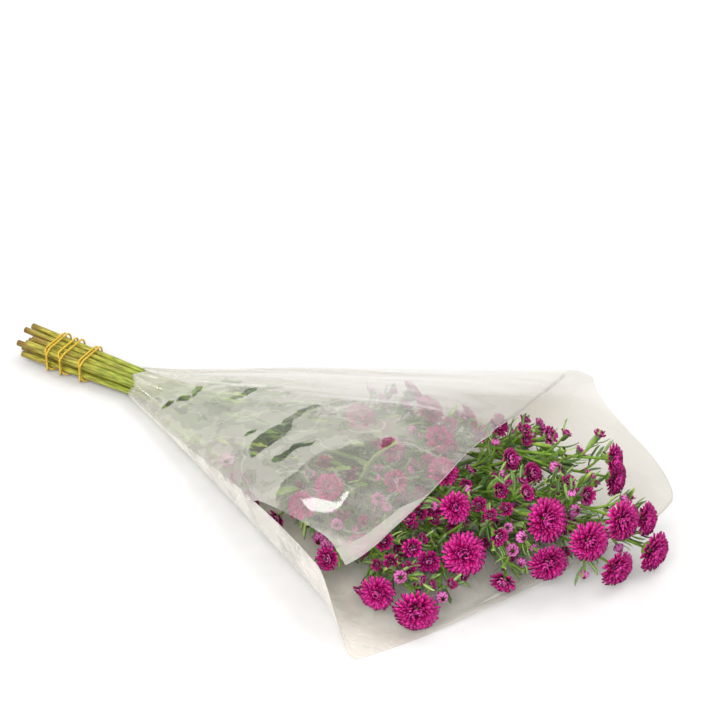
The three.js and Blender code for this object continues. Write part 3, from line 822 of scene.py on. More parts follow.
# %% [markdown]
# Balls stand for all that is already there: the heart and rim of each bloom, and a row of balls along
# each stem and branch. A test against balls is rough, but quick enough for thousands of leaves.

# %% What is already there
HEART = 0.62  # radius of the ball in the middle of a bloom, and of the ring of balls round it
RIM = 0.42  # radius of each ball of that ring, both as shares of the bloom's
BEFORE_FILM = 8  # mm that growth may stand out at the neck
FREE_FROM = 432  # mm; from here on it may stand out beside the film
BESIDE_FILM = 2
PAST_MOUTH = 4
FROM_SHEETS = 1.5


class Crowd:
    """The balls of all that is placed, each with its owner"""

    def __init__(self):
        self.places = np.zeros((0, 3))
        self.radii = np.zeros(0)
        self.owners = np.zeros(0, int)
        self.names = {}

    def add(self, owner, points, radius):
        number = self.names.setdefault(owner, len(self.names))
        self.places = np.vstack([self.places, rows_of(points)])
        self.radii = np.concatenate([self.radii, np.full(len(points), radius)])
        self.owners = np.concatenate([self.owners, np.full(len(points), number)])

    def is_clear(self, owner, points, radius):
        if not all(in_sleeve(point, radius) for point in points):
            return False
        others = self.owners != self.names.get(owner, -1)
        apart = self.places[others][None] - rows_of(points)[:, None]
        reach = self.radii[others] + radius + GAP
        return not (np.linalg.norm(apart, axis=2) <= reach).any()


def in_sleeve(point, radius):
    x, y, z = point
    if x < SLEEVE_START - BEFORE_FILM or z < FILM + 2 * GAP + radius:
        return False
    q = y / half_width(x)
    if abs(q) > 1 - (radius + BESIDE_FILM) / half_width(x):
        return x > FREE_FROM
    if x > mouth_edge(q) + PAST_MOUTH:
        return True
    room = radius + FROM_SHEETS
    return lower_sheet(x, q) + room < z < upper_sheet(x, q) - room


crowd = Crowd()
for tip in blooms:
    middle = tip.base + tip.face * (tip.radius * 0.3)
    across = Vector((0, 1, 0)).cross(tip.face).normalized() * (tip.radius * HEART)
    rim = [middle + Quaternion(tip.face, i * pi / 4) @ across for i in range(8)]
    crowd.add(tip.name, [middle], tip.radius * HEART)
    crowd.add(tip.name, rim, tip.radius * RIM)

for stem in stems:
    stem.curve = stem_curve(stem)
    stem.line = plain_line(stem.curve, 9, stem.tips[0])
    crowd.add(stem.name, stem.line.spaced(110), STEM_RADIUS * 0.92)
    stem.branches = []
    for tip in stem.tips[1:]:
        curve = branch_curve(stem.line, tip)
        line = plain_line(curve, 4, tip)
        crowd.add(stem.name, line.spaced(30), TIP_RADIUS * 1.3)
        if tip.is_bud:
            crowd.add(stem.name, [tip.base + tip.face * (tip.radius * 0.5)], tip.radius)
        stem.branches.append(SimpleNamespace(curve=curve, line=line, tip=tip))
print("balls:", len(crowd.radii))

# %% [markdown]
# The rule for what grows on a line: so many leaves between two shares of it, each turned round the
# line by the golden angle until it is clear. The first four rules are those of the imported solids, in
# the same order and with the same draws, so each leaf lands where its solid is. The others are the
# finer growth that the solids leave out. A rule may name the side where it starts, as an angle.

# %% Rules of growth
def rule(kind, start, end, count, long, slim, lean, side=None):
    return SimpleNamespace(
        kind=kind, start=start, end=end, count=count, long=long, slim=slim, lean=lean, side=side)


# Kind, start and end on the line, count, lengths at both, width as a share of that, lean from the line
ABOVE = pi / 2
IN_FRONT = pi * 0.95
NECK_LEAVES = rule("lobed", 0.08, 0.42, 4, (52, 38), 0.18, 0.66)
STEM_LEAVES = rule("toothed", 0.45, 0.93, 4, (29, 17), 0.22, 0.75)
BRANCH_LEAVES = rule("plain", 0.3, 0.85, 2, (20, 14), 0.25, 0.75)
GREEN_BUDS = rule("bud", 0.35, 0.7, 1, (18, 18), 0.3, 0.7)
TWIGS = rule("twig", 0.42, 0.95, 11, (42, 28), 0.36, 0.6)
BRANCH_TWIGS = rule("twig", 0.35, 0.9, 4, (30, 22), 0.4, 0.6)
SMALL_BUDS = rule("bud", 0.35, 0.85, 2, (14, 11), 0.36, 0.65)
MORE_NECK_LEAVES = rule("lobed", 0.05, 0.5, 12, (50, 34), 0.2, 0.62, ABOVE)
MORE_STEM_LEAVES = rule("toothed", 0.4, 0.96, 14, (27, 14), 0.24, 0.7)
MORE_BRANCH_LEAVES = rule("plain", 0.2, 0.94, 7, (26, 15), 0.24, 0.65)
FRONT_TWIGS = rule("twig", 0.25, 0.8, 12, (60, 44), 0.32, 0.85, IN_FRONT)
FRONT_LEAVES = rule("toothed", 0.2, 0.85, 12, (44, 30), 0.2, 0.8, IN_FRONT)
TWIG_LEAVES = rule("plain", 0.2, 1, 4, (18, 12), 0.25, 0.6)
BUD_EVERY = 3  # one branch in this many carries a green bud
GOLDEN_ANGLE = 2.39996
TRIES = 14  # places round the line that a leaf may try before it is left out
ARCH = (0.32, -0.34)  # rise of a leaf over its length, as it leaves the stem and as it falls again
BLADE_SHARES = (0.16, 0.3, 0.45, 0.6, 0.78, 0.95)
STALK_SHARES = (0.35, 0.6, 0.88)


def leaf_way(grown, t):
    """Where the midrib of a leaf is at a share of its length"""
    rise = ARCH[0] * t + ARCH[1] * t * t
    return grown.root + grown.along * (grown.long * t) + grown.over * (grown.long * rise)


def stalk_way(grown, t):
    """Where the stalk of a bud or a twig is, which bends upwards"""
    return grown.root + grown.along * (grown.long * t) + grown.over * (grown.long * 0.26 * t * t)


def grow(owner, curve, line, rule, draw):
    """What grows on a line by a rule. Its clearance is that of the plain line, its root on the curve"""
    grown = []
    is_leaf = rule.kind not in ("bud", "twig")
    way, shares, part = (leaf_way, BLADE_SHARES, 0.45) if is_leaf else (stalk_way, STALK_SHARES, 0.5)
    for k in range(rule.count):
        share = (k + 0.25 + 0.5 * next(draw)) / rule.count
        t = lerp(rule.start, rule.end, share)
        tangent = line.tangent(t)
        side = UP.cross(tangent).normalized()
        start = next(draw) * 2 * pi if rule.side is None else rule.side + next(draw) - 0.5
        item = SimpleNamespace(kind=rule.kind, root=line.at(t), slim=rule.slim)
        item.long = lerp(*rule.long, share) * (0.85 + 0.3 * next(draw))
        for trial in range(TRIES):
            lean = rule.lean * (1 - 0.7 * trial / TRIES)
            outward = Quaternion(tangent, start + trial * GOLDEN_ANGLE) @ side
            item.along = tangent * cos(lean) + outward * sin(lean)
            item.over = (outward - item.along * outward.dot(item.along)).normalized()
            balls = [way(item, s) for s in shares]
            radius = item.long * rule.slim * part
            if crowd.is_clear(owner, balls, radius):
                crowd.add(owner, balls, radius)
                item.root = curve.nearest(item.root)
                grown.append(item)
                break
    return grown


def grow_on(stem, shoot, draw, *rules):
    """Adds to a stem what these rules let grow on it or on one of its shoots"""
    for rule in rules:
        stem.grown += grow(stem.name, shoot.curve, shoot.line, rule, draw)


for i, stem in enumerate(stems):
    stem.grown = []
    draw = draws_from(1000 + 77 * i)
    grow_on(stem, stem, draw, NECK_LEAVES, STEM_LEAVES)
    for k, branch in enumerate(stem.branches):
        grow_on(stem, branch, draw, BRANCH_LEAVES)
        if k % BUD_EVERY == 1:
            grow_on(stem, branch, draw, GREEN_BUDS)
print("leaves and green buds of the solids:", sum(len(stem.grown) for stem in stems))

# %% [markdown]
# Where a wet leaf clings to the film from below, the haze is gone and the leaf shows clear and dark
# green. Each such spot is an ellipse on the upper sheet. A leaf of its own grows to the far end of
# the ellipse from the nearest stem that can reach it, and the film's finish leaves the same ellipse
# clear. The leaves come before the finer growth, which then keeps out of their way.

# %% Leaves against the film
PRESSED = [  # ellipses on the upper sheet: x, y, length, width in mm, turn, how clear
    (174, -6, 19, 7, 94, 1),
    (170, -20, 10, 6, 56, 1),
    (161, -27, 11, 4, 22, 1),
    (220, -6, 26, 8, 57, 1),
    (292, -24, 13, 9, 72, 1),
    (284, -38, 24, 8, 73, 0.85),
    (277, -62, 36, 18, 68, 1),
    (258, -57, 10, 5, 49, 1),
    (305, -75, 33, 6, 43, 1),
    (319, -102, 28, 5, 73, 0.7),
    (373, -57, 12, 9, 24, 1),
]
PRESSED_DEPTH = 4.5  # mm under the plain sheet, so that its folds stay clear of the leaf
SEEN_ASLANT = Vector((-4, 7, 0))  # mm from a spot to where a slanting look through it meets the leaf
PRESSED_BALL = 1.2  # mm
ROOTS = 90  # places on a stem where such a leaf may start
NEAREST = 260  # how many of all these places are tried
SHORTEST = 18  # mm
RUN_UP = 6  # mm that it starts before the middle of its spot
IN_LINE = 0.35  # cosine of how far it may point away from the length of the spot


def pressed_leaf(x, y, long, wide, turn):
    """The shortest clear leaf from a stem to the far end of a spot, with its stem, or None"""
    middle = Vector((x, y, upper_sheet(x, y / half_width(x)))) + SEEN_ASLANT
    roots = [(stem, root) for stem in stems for root in stem.line.spaced(ROOTS) if root.x < x - RUN_UP]
    for stem, root in sorted(roots, key=lambda pair: (pair[1] - middle).length)[:NEAREST]:
        axis = Vector((cos(radians(turn)), sin(radians(turn)), 0))
        if axis.dot(middle - root) < 0:
            axis.negate()
        tip = middle + axis * (long / 2)
        tip.z = upper_sheet(tip.x, tip.y / half_width(tip.x)) - PRESSED_DEPTH
        length = (tip - root).length
        along = (tip - root) / length
        if length < SHORTEST or axis.dot(along) < IN_LINE:
            continue
        item = SimpleNamespace(kind="toothed", root=root, long=length, along=along)
        item.slim = min(0.4, max(0.24, 1.8 * wide / length))
        item.over = (UP - along * UP.dot(along)).normalized()
        balls = [leaf_way(item, s) for s in BLADE_SHARES]
        if crowd.is_clear(stem.name, balls, PRESSED_BALL):
            crowd.add(stem.name, balls, PRESSED_BALL)
            return stem, item
    return None


found = [pressed_leaf(*spot[:5]) for spot in PRESSED]
for stem, item in filter(None, found):
    stem.grown.append(item)
print("leaves against the film:", [round(pair[1].long) if pair else None for pair in found])

# %% [markdown]
# The finer growth fills the bunch: twigs with a head and leaves of their own, small buds, and many
# more leaves. The extra leaves near the neck start above their stem, so that they rise to the film,
# and the two front stems send twigs and leaves to the open seam, where the bunch can be looked into.

# %% The finer growth
front_stems = sorted(stems, key=lambda stem: stem.line.at(0.6).y)[:2]
for i, stem in enumerate(stems):
    draw = draws_from(9000 + 31 * i)
    grow_on(stem, stem, draw, TWIGS)
    for branch in stem.branches:
        grow_on(stem, branch, draw, BRANCH_TWIGS, SMALL_BUDS)
for i, stem in enumerate(stems):
    draw = draws_from(12000 + 31 * i)
    if stem in front_stems:
        grow_on(stem, stem, draw, FRONT_TWIGS, FRONT_LEAVES)
    grow_on(stem, stem, draw, MORE_NECK_LEAVES, MORE_STEM_LEAVES)
    for branch in stem.branches:
        grow_on(stem, branch, draw, MORE_BRANCH_LEAVES)
    for twig in [item for item in stem.grown if item.kind == "twig"]:
        line = Line([stalk_way(twig, 0.8 * t / 20) for t in range(21)])
        grow_on(stem, SimpleNamespace(curve=line, line=line), draw, TWIG_LEAVES)
kinds = [item.kind for stem in stems for item in stem.grown]
print("grown in all:", {kind: kinds.count(kind) for kind in sorted(set(kinds))})

# %% [markdown]
# Three leaf shapes cover the plant. The big ones near the neck are lobed, as on a daisy; those higher
# up are narrow with a few teeth; the ones on the branches are plain lances. Each is a blade one unit
# long that arches over its length, folds a little along its midrib and waves at its margin.

# %% Leaf shapes
def leaf_template(slim, lobes, depth, fold, wave, rows):
    """A leaf along +Y, facing +Z, one unit long"""

    def place(u, v):
        outline = 1.32 * (v * (1 - v) ** 0.75) ** 0.55 + 0.05
        notch = 1 - depth * (0.5 + 0.5 * cos(2 * pi * lobes * v)) * min(1, 4 * v)
        wide = slim / 2 * outline * notch
        arch = ARCH[0] * v + ARCH[1] * v * v
        margin = wave * slim * sin(2 * pi * (lobes + 1) * v + u) * u * u
        return Vector((u * wide, v, arch + fold * wide * abs(u) + margin))

    return blade(2 if rows < 8 else 4, rows, 0.014, place)


LEAF_SLIM = {"lobed": 0.3, "toothed": 0.2, "plain": 0.2}
leaf_shapes = {
    "lobed": leaf_template(LEAF_SLIM["lobed"], 3.5, 0.5, 0.35, 0.06, 14),
    "toothed": leaf_template(LEAF_SLIM["toothed"], 4, 0.25, 0.3, 0.06, 9),
    "plain": leaf_template(LEAF_SLIM["plain"], 1.5, 0.1, 0.4, 0.05, 6),
}
bract_shape = leaf_template(0.3, 1, 0.0, 0.3, 0.0, 3)
print("faces of a leaf:", {kind: len(shape.polygons) for kind, shape in leaf_shapes.items()})

# %% [markdown]
# A green bud is a tight cup of bracts, about 5 mm wide, whose top shows the dark tips of the petals
# inside. A squashed sphere gives the body, and two rows of bracts hug it. The numbers of the slots
# below are the places of the materials in the list of a stem's piece.

# %% Green buds
STEM_SLOT, PITH_SLOT, LEAF_SLOT, PETALS_SLOT, BUD_TOP_SLOT = 0, 1, 2, 3, 4
STEM_MATERIALS = [stem_skin, cut_pith, waxy_leaf, young_petal, floret_button]


def standing(angle, foot, stand, size):
    """Stands a bract, which lies along +Y, on a ring round the Z axis and leans its tip to the axis"""
    outward = Vector((cos(angle), sin(angle), 0))
    along = outward * sin(stand) + UP * cos(stand)
    over = UP * sin(stand) - outward * cos(stand)
    side = along.cross(over)
    return axes_matrix(outward * foot[0] + UP * foot[1], side * size, along * size, over * size)


BUD_BRACTS = (  # for each row, how many there are, where a foot is, how far it leans, and its length
    (7, (0.55, 0.1), 0.5, 1.2),
    (7, (0.7, 0.35), 0.05, 1.15),
)


def bud_template():
    """A green bud along +Z, one unit in radius, with its stalk's end at the origin"""
    bm = new_plant_bmesh()
    bmesh.ops.create_uvsphere(bm, u_segments=8, v_segments=6, radius=0.85)
    for vert in bm.verts:
        vert.co.z = 0.85 + vert.co.z * 0.95
    for face in bm.faces:
        top = face.calc_center_median().z > 1.4
        face.material_index = BUD_TOP_SLOT if top else LEAF_SLOT
    for ring, (count, foot, stand, size) in enumerate(BUD_BRACTS):
        for j in range(count):
            angle = 2 * pi * (j + ring / 2) / count
            stamp(bm, bract_shape, standing(angle, foot, stand, size), 0.8, LEAF_SLOT)
    return mesh_of(bm, "green_bud")


green_bud = bud_template()

# %% [markdown]
# An opening bud is a closed head of petals that stands out of its green cup. Each petal hugs an
# egg-shaped form, so what shows is its lilac back. The inner rows are longer and close over the top.

# %% Opening buds
def closed_petal(inner):
    """A petal of a closed head one unit in radius; inner is 0 for the outer row and 1 for the inner"""
    widest = 0.9 - 0.14 * inner
    top = 0.42 - 0.2 * inner
    height = 0.95 + 0.4 * inner

    def place(u, v):
        r = lerp(0.42, top, v) + (widest - 0.42) * sin(pi * v**0.9)
        angle = -u * 0.5 * sqrt(1 - 0.6 * v**3)
        return Vector((r * cos(angle), r * sin(angle), height * v - 0.12))

    return blade(2, 5, 0.03, place)


def closed_head():
    bm = new_plant_bmesh()
    for ring, (count, inner) in enumerate(((8, 0), (8, 0.5), (6, 1))):
        petal = closed_petal(inner)
        for j in range(count):
            turn = Matrix.Rotation(2 * pi * (j + ring / 2) / count, 4, "Z")
            stamp(bm, petal, turn, (j * 0.37 + ring * 0.21) % 1, PETALS_SLOT)
    return mesh_of(bm, "closed_head")


closed_petals = closed_head()
print("faces of a closed head:", len(closed_petals.polygons))

# %% [markdown]
# The small blooms at the ends of the twigs have just opened. They come too often for each to be made
# by itself, so three are made, one unit in radius, and stamped with a turn of their own.

# %% Small blooms
def small_bloom(seed):
    bm = new_plant_bmesh()
    add_bloom(bm, 1, Matrix.Identity(4), draws_from(seed), (PETALS_SLOT, BUD_TOP_SLOT))
    return mesh_of(bm, "small_bloom")


small_blooms = [small_bloom(seed) for seed in (41, 42, 43)]
print("faces of a small bloom:", len(small_blooms[0].polygons))

# %% [markdown]
# Tubes come from one Blender curve for each stem: every shoot is a spline with a radius at each
# point, and the curve's bevel gives it a round section. Turned into a mesh, it is a set of closed
# tubes. The bare lower end is straight, with slight thickenings where leaves once stood. The rubber
# bands use the same function with splines that end where they start.

# %% Tubes along lines
def tubes(runs, ringed=False):
    """A bmesh of round tubes, one for each run of points and radii, with capped ends or as rings"""
    curve = bpy.data.curves.new("tubes", "CURVE")
    curve.dimensions = "3D"
    curve.bevel_depth = 1
    curve.bevel_resolution = 3
    curve.use_fill_caps = True
    for points, radii in runs:
        spline = curve.splines.new("POLY")
        spline.points.add(len(points) - 1)
        for spot, point, radius in zip(spline.points, points, radii):
            spot.co = (*point, 1)
            spot.radius = radius
        spline.use_cyclic_u = ringed
    holder = in_scene("tubes", curve)
    depsgraph = bpy.context.evaluated_depsgraph_get()
    mesh = bpy.data.meshes.new_from_object(holder.evaluated_get(depsgraph))
    bpy.data.objects.remove(holder)
    bm = new_plant_bmesh()
    bm.from_mesh(mesh)
    bmesh.ops.remove_doubles(bm, verts=bm.verts[:], dist=1e-4)
    bmesh.ops.recalc_face_normals(bm, faces=bm.faces[:])
    bpy.data.meshes.remove(mesh)
    return bm


BARE_STEPS = 26
NODE_SPACING = 27  # mm between the places where leaves once stood


def bare_run(stem, number):
    """The straight part of a stem from its cut to its neck, with a swelling at each old leaf"""
    points = []
    radii = []
    for i in range(BARE_STEPS):
        point = stem.cut.lerp(stem.neck, i / BARE_STEPS)
        swell = max(0, cos(2 * pi * (point.x + 11 * number) / NODE_SPACING)) ** 12
        points.append(point)
        radii.append(STEM_RADIUS * (0.93 + 0.05 * swell))
    return points, radii


def stalk_run(item):
    """The stalk of a green bud, or a twig with the cup of its opening bud at its end"""
    shares = [0, 0.2, 0.4, 0.6, 0.72]
    thick = 0.75 if item.kind == "bud" else 1.1
    radii = [thick * (1 - 0.35 * t) for t in shares]
    if item.kind == "twig":
        shares += [0.745, 0.77]
        radii += [item.long * item.slim * 0.1, item.long * item.slim * 0.15]
    return [stalk_way(item, t) for t in shares], radii


def stand_on(item, share):
    """Where a stalk ends and which way it heads there, as a matrix for what stands on it"""
    foot = stalk_way(item, share)
    return turned_to((stalk_way(item, share + 0.1) - foot).normalized(), foot)


def add_cup_bracts(bm, matrix, radius, share, long, draw):
    """Two rows of small bracts on the cup of a bloom or opening bud"""
    count = 9
    for ring in range(2):
        foot = (radius * (share + 0.1 * ring), radius * (0.1 * ring - 0.26))
        for j in range(count):
            angle = 2 * pi * (j + ring / 2 + 0.2 * next(draw)) / count
            bract = standing(angle, foot, 0.55 - 0.2 * ring, long)
            stamp(bm, bract_shape, matrix @ bract, 0.45 + 0.5 * next(draw), LEAF_SLOT)


def any_turn(matrix, radius, draw):
    """A matrix with a turn round its own Z axis that the draws give, scaled to a radius"""
    return matrix @ Matrix.Rotation(6.3 * next(draw), 4, "Z") @ Matrix.Scale(radius, 4)


def add_closed_head(bm, matrix, radius, draw):
    """An opening bud of this radius, with a cup of bracts"""
    stamp(bm, closed_petals, any_turn(matrix, radius, draw), next(draw))
    add_cup_bracts(bm, matrix, radius, 0.42, radius * 0.85, draw)


# %% [markdown]
# Now each stem is put together: its tubes first, then the cut end gets its pith, then bracts, opening
# buds, leaves and green buds are stamped where the rules of growth put them.

# %% Stems
def add_grown(bm, item, draw):
    """Adds a leaf, a green bud or the head of a twig, whose stalks are already there"""
    radius = item.long * item.slim * 0.5
    if item.kind == "bud":
        stamp(bm, green_bud, stand_on(item, 0.7) @ Matrix.Scale(radius, 4), 0.75)
    elif item.kind == "twig":
        add_twig_head(bm, item, radius, next(draw), draw)
    else:
        side = item.along.cross(item.over) * (item.long * item.slim / LEAF_SLIM[item.kind])
        place = axes_matrix(item.root, side, item.along * item.long, item.over * item.long)
        stamp(bm, leaf_shapes[item.kind], place, next(draw), LEAF_SLOT)


def add_twig_head(bm, item, radius, pick, draw):
    """A twig ends in a small bloom, in an opening bud or in a green bud, as the pick from 0 to 1 says"""
    if pick < 0.5:
        matrix = stand_on(item, 0.76)
        stamp(bm, small_blooms[int(6 * pick)], any_turn(matrix, radius, draw))
        add_cup_bracts(bm, matrix, radius, 0.3, radius * 0.6, draw)
    elif pick < 0.78:
        add_closed_head(bm, stand_on(item, 0.76), radius * 0.72, draw)
    else:
        stamp(bm, green_bud, stand_on(item, 0.7) @ Matrix.Scale(radius * 0.5, 4), 0.75)


def pith_at_cut(bm, cut, thick):
    """Gives the cut end a rim of skin and a face of pith"""
    ends = [face for face in bm.faces if (face.calc_center_median() - cut).length < 0.5 * thick]
    bmesh.ops.inset_region(bm, faces=ends, thickness=0.35, depth=0.0)
    for face in ends:
        face.material_index = PITH_SLOT


STEM_STEPS = 40
BRANCH_STEPS = 16
for number, stem in enumerate(stems):
    draw = draws_from(500 + 13 * number)
    points, radii = fine_run(stem.curve, STEM_STEPS, STEM_RADIUS * 0.92, stem.tips[0])
    bare_points, bare_radii = bare_run(stem, number)
    runs = [(bare_points + points, bare_radii + radii)]
    for branch in stem.branches:
        runs.append(fine_run(branch.curve, BRANCH_STEPS, TIP_RADIUS, branch.tip))
    runs += [stalk_run(item) for item in stem.grown if item.kind in ("bud", "twig")]
    bm = tubes(runs)
    pith_at_cut(bm, stem.cut, STEM_RADIUS)
    for tip in stem.tips:
        matrix = bloom_matrix(tip)
        if tip.is_bud:
            add_closed_head(bm, matrix, tip.radius, draw)
        else:
            add_cup_bracts(bm, matrix, tip.radius, 0.3, tip.radius * 0.5, draw)
    for item in stem.grown:
        add_grown(bm, item, draw)
    piece = finished_piece(stem.name + "_spray", bm, STEM_MATERIALS, "stem", stem.name)
    stem.triangles = sum(len(face.vertices) - 2 for face in piece.data.polygons)
print("triangles of the stems:", [stem.triangles for stem in stems])

# %% [markdown]
# The rubber bands are wound twice round the bundle. A taut band touches only the outermost stems, so
# its line is where a string pulled tight round them would lie, and the second turn climbs over the
# first.

# %% Rubber bands
BANDS = [(35, 3.2), (48, 4.2), (67, 2.6)]  # where each lies along the stems, and how far its turns lean
BAND_RADIUS = 0.8
BAND_WANDER = 0.9  # mm; how far a turn strays from its plane
BAND_STEPS = 140


def band_points(x, lean):
    points = []
    for i in range(BAND_STEPS):
        angle = 4 * pi * i / BAND_STEPS
        at = x + lean * cos(angle / 2) + BAND_WANDER * sin(1.5 * angle + x)
        outward = Vector((0, cos(angle), sin(angle)))
        passing = [s.cut.lerp(s.neck, (at - s.cut.x) / (s.neck.x - s.cut.x)) for s in stems]
        outermost = max(passing, key=lambda p: p.dot(outward))
        over = (BAND_RADIUS + GAP / 2) * (1 + sin(angle / 2))
        point = outermost + outward * (STEM_RADIUS + GAP + BAND_RADIUS + over)
        points.append(Vector((at, point.y, point.z)))
    return points


for i, (x, lean) in enumerate(BANDS):
    name = f"rubber_band_{i + 1}"
    band = tubes([(band_points(x, lean), [BAND_RADIUS] * BAND_STEPS)], ringed=True)
    finished_piece(name + "_cord", band, [natural_rubber], "band", name)
print("rubber bands:", len(BANDS))

# %% [markdown]
# The sleeve is clear film, folded round the bunch and sealed along both sides. Light makes it show in
# two ways: it mirrors the studio, most at a glancing view, and it has a white haze, which passes light
# on as well as it throws light back. The haze is partly the film's own mist from rubbing and dew and
# partly painted reflection: its pattern is a veil of reflected light, fixed on the film. So the shader
# lets light straight through, adds a share of haze that is half Translucent, and mirrors by the
# Fresnel rule on top. The haze has crisp-edged patches that noise draws, and thin bright lines along
# creases, which are painted highlights. A hem at the mouth is hazier, the lower sheet is milky where
# it curls up in front, and where a wet leaf presses against the film there is no haze at all.

# %% Film
CLEARER = [  # bigger ellipses near the mouth where the haze and its painted reflection are thinner
    (422, 80, 220, 380, 33, 0.55),
    (378, -98, 125, 85, 15, 0.55),
]
HAZE = 0.35  # share of light that each face of the upper sheet scatters where the haze, partly painted reflection, is thickest
HAZE_COLOUR = "F8F5EF"
PAINTED_CREASE_HIGHLIGHT = 0.28  # how much haze a crease line adds: a painted highlight along the crease
HEM = 0.9  # haze of the hem at the mouth
SOFT_EDGE = 0.4  # mm; how wide the edge of the hem is
NORMAL_MIRROR = 0.04  # share of light that film mirrors when it is looked at straight on


def clear_spot(tree, place, x, y, long, wide, turn, amount):
    """This amount inside an ellipse on the sheet as seen from above, 0 outside, with a crisp edge"""
    centre = TO_ROW @ Vector((x, y, 0))
    place_of = {"Location": (centre.x, centre.y, 0), "Rotation": (0, 0, radians(turn))}
    size_of = {"Scale": (long * MM, wide * MM, 1)}
    spot = add_node(tree, "Mapping", place_of | size_of, {"Vector": place}, vector_type="TEXTURE")
    flat = add_node(tree, "VectorMath", {1: (1, 1, 0)}, {0: spot.outputs[0]}, operation="MULTIPLY")
    away = add_node(tree, "VectorMath", {}, {0: flat.outputs[0]}, operation="LENGTH")
    edge = {"From Min": 0.52, "From Max": 0.47, "To Max": amount}
    return add_node(tree, "MapRange", edge, {"Value": away.outputs["Value"]}).outputs[0]


def wavy_place(tree, size, reach):
    """The place on the object, pushed about by noise of this size as far as reach, both in mm"""
    place = add_node(tree, "TexCoord").outputs["Object"]
    push = add_node(tree, "TexNoise", {"Scale": 1 / (size * MM), "Detail": 2.0}, {"Vector": place})
    half = {1: (0.5, 0.5, 0.5)}
    push = add_node(tree, "VectorMath", half, {0: push.outputs["Color"]}, operation="SUBTRACT")
    reach_of = {"Scale": 2 * reach * MM}
    push = add_node(tree, "VectorMath", reach_of, {0: push.outputs[0]}, operation="SCALE")
    return add_node(tree, "VectorMath", {}, {0: place, 1: push.outputs[0]}, operation="ADD").outputs[0]


def film_material():
    material, tree = new_material("clear_polypropylene_film")
    place = wavy_place(tree, 16, 7)
    # the haze below is partly the film's own mist and partly painted reflection, fixed on the film
    clear = 0.0
    for spot in CLEARER + PRESSED:
        clear = sum_of(tree, "MAXIMUM", clear, clear_spot(tree, place, *spot))
    # noise patches with crisp edges thin the haze and its painted reflection here and there
    haze_patches = grain(tree, 15.0, 4.0, (1.8, 1, 1))
    haze_patches = ramp(tree, haze_patches, (0.43, "CECECE"), (0.455, "E8E8E8"), (0.56, "E8E8E8"), (0.58, "FFFFFF"))
    haze_and_painted_reflection = product(tree, haze_patches, sum_of(tree, "SUBTRACT", 1.0, clear))
    # thin bright lines where the noise crosses its middle: painted highlights along creases
    swell = sum_of(tree, "SUBTRACT", grain(tree, 34.0, 1.5, (2.2, 1, 1)), 0.5)
    crease = {"From Min": 0.01, "From Max": 0.0, "To Max": PAINTED_CREASE_HIGHLIGHT}
    crease = add_node(tree, "MapRange", crease, {"Value": sum_of(tree, "ABSOLUTE", swell, 0.0)})
    haze_and_painted_reflection = sum_of(tree, "ADD", haze_and_painted_reflection, crease.outputs[0])
    edge = {"From Min": SOFT_EDGE, "From Max": 0.0}
    hem = add_node(tree, "MapRange", edge, {"Value": attribute(tree, "in_seam")})
    haze_and_painted_reflection = sum_of(tree, "MAXIMUM", haze_and_painted_reflection, product(tree, hem.outputs[0], HEM))
    haze = product(tree, haze_and_painted_reflection, attribute(tree, "haze"), HAZE)
    tint = mixed(tree, attribute(tree, "haze"), linear("FBFAF8"), linear("F8F7F4"))
    through = add_node(tree, "BsdfTransparent", {}, {"Color": tint})
    lit = add_node(tree, "BsdfPrincipled", {"Base Color": linear(HAZE_COLOUR), "Roughness": 0.35})
    lit_through = add_node(tree, "BsdfTranslucent", {"Color": linear(HAZE_COLOUR)})
    white = add_node(tree, "MixShader", {"Fac": 0.5}, {1: lit.outputs[0], 2: lit_through.outputs[0]})
    misted = {"Fac": haze, 1: through.outputs[0], 2: white.outputs[0]}
    misted = add_node(tree, "MixShader", {}, misted)
    mirror = add_node(tree, "BsdfGlossy", {"Color": (1, 1, 1, 1), "Roughness": 0.05})
    grazing = add_node(tree, "LayerWeight", {"Blend": 0.5}).outputs["Facing"]
    fresnel = product(tree, sum_of(tree, "POWER", grazing, 5.0), 1 - NORMAL_MIRROR)
    fresnel = sum_of(tree, "ADD", fresnel, NORMAL_MIRROR)
    both = {"Fac": fresnel, 1: misted.outputs[0], 2: mirror.outputs[0]}
    shader = add_node(tree, "MixShader", {}, both)
    add_node(tree, "OutputMaterial", {}, {"Surface": shader.outputs[0]})
    return material


clear_film = film_material()

# %% [markdown]
# The sleeve starts as two grids, the lower and the upper sheet, laid over the same formulas as the
# imported solid but several times finer. Long soft folds fan out from the neck, where pleats gather the
# film round the stems. The two sheets are welded along the creases, except where the front seal has
# come open, and a Solidify modifier gives the film its thickness. It was cut as one flat sheet, as long
# as the lower one and wide enough to make both.

# %% Sleeve
FINER = 7  # rows of the finer grid for each row of the solid's
SHEET_COLUMNS = 72
FILM_THICKNESS = 0.25  # real film is thinner still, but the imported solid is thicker
LOWER_HAZE = 0.3  # of that of the upper sheet
FRONT_HAZE = 2.2  # of it too, where the lower sheet curls up in front and is milky
SLIT = 0.045  # how wide the open seal gapes at the mouth, as a share of the sleeve's width
SEAM = (0.5, 9)  # mm; width of the hem at the mouth, and of its doubled part at the front
PLEATS = 0.7  # mm; depth of the pleats where the film is gathered round the stems
NECK_CUT = 7  # mm; how unevenly the film is cut there
ELSEWHERE = 400  # mm; where the lower sheet reads its folds, so that they differ from the upper one's
NO_HEM = 1000  # mm; the distance to the hem that a sheet without one gives


def row_x(row, q):
    """Where a row of the sleeve crosses q: rows 0 to 9 reach the mouth, and 9 to 13 the flap's edge"""
    if row <= BODY_ROWS:
        cut = NECK_CUT * max(0, 1 - row) * (0.5 + 0.5 * cos(7 * q - 1))
        return lerp(SLEEVE_START, mouth_edge(q), row / BODY_ROWS) + cut
    return lerp(mouth_edge(q), flap_edge(q), (row - BODY_ROWS) / FLAP_ROWS)


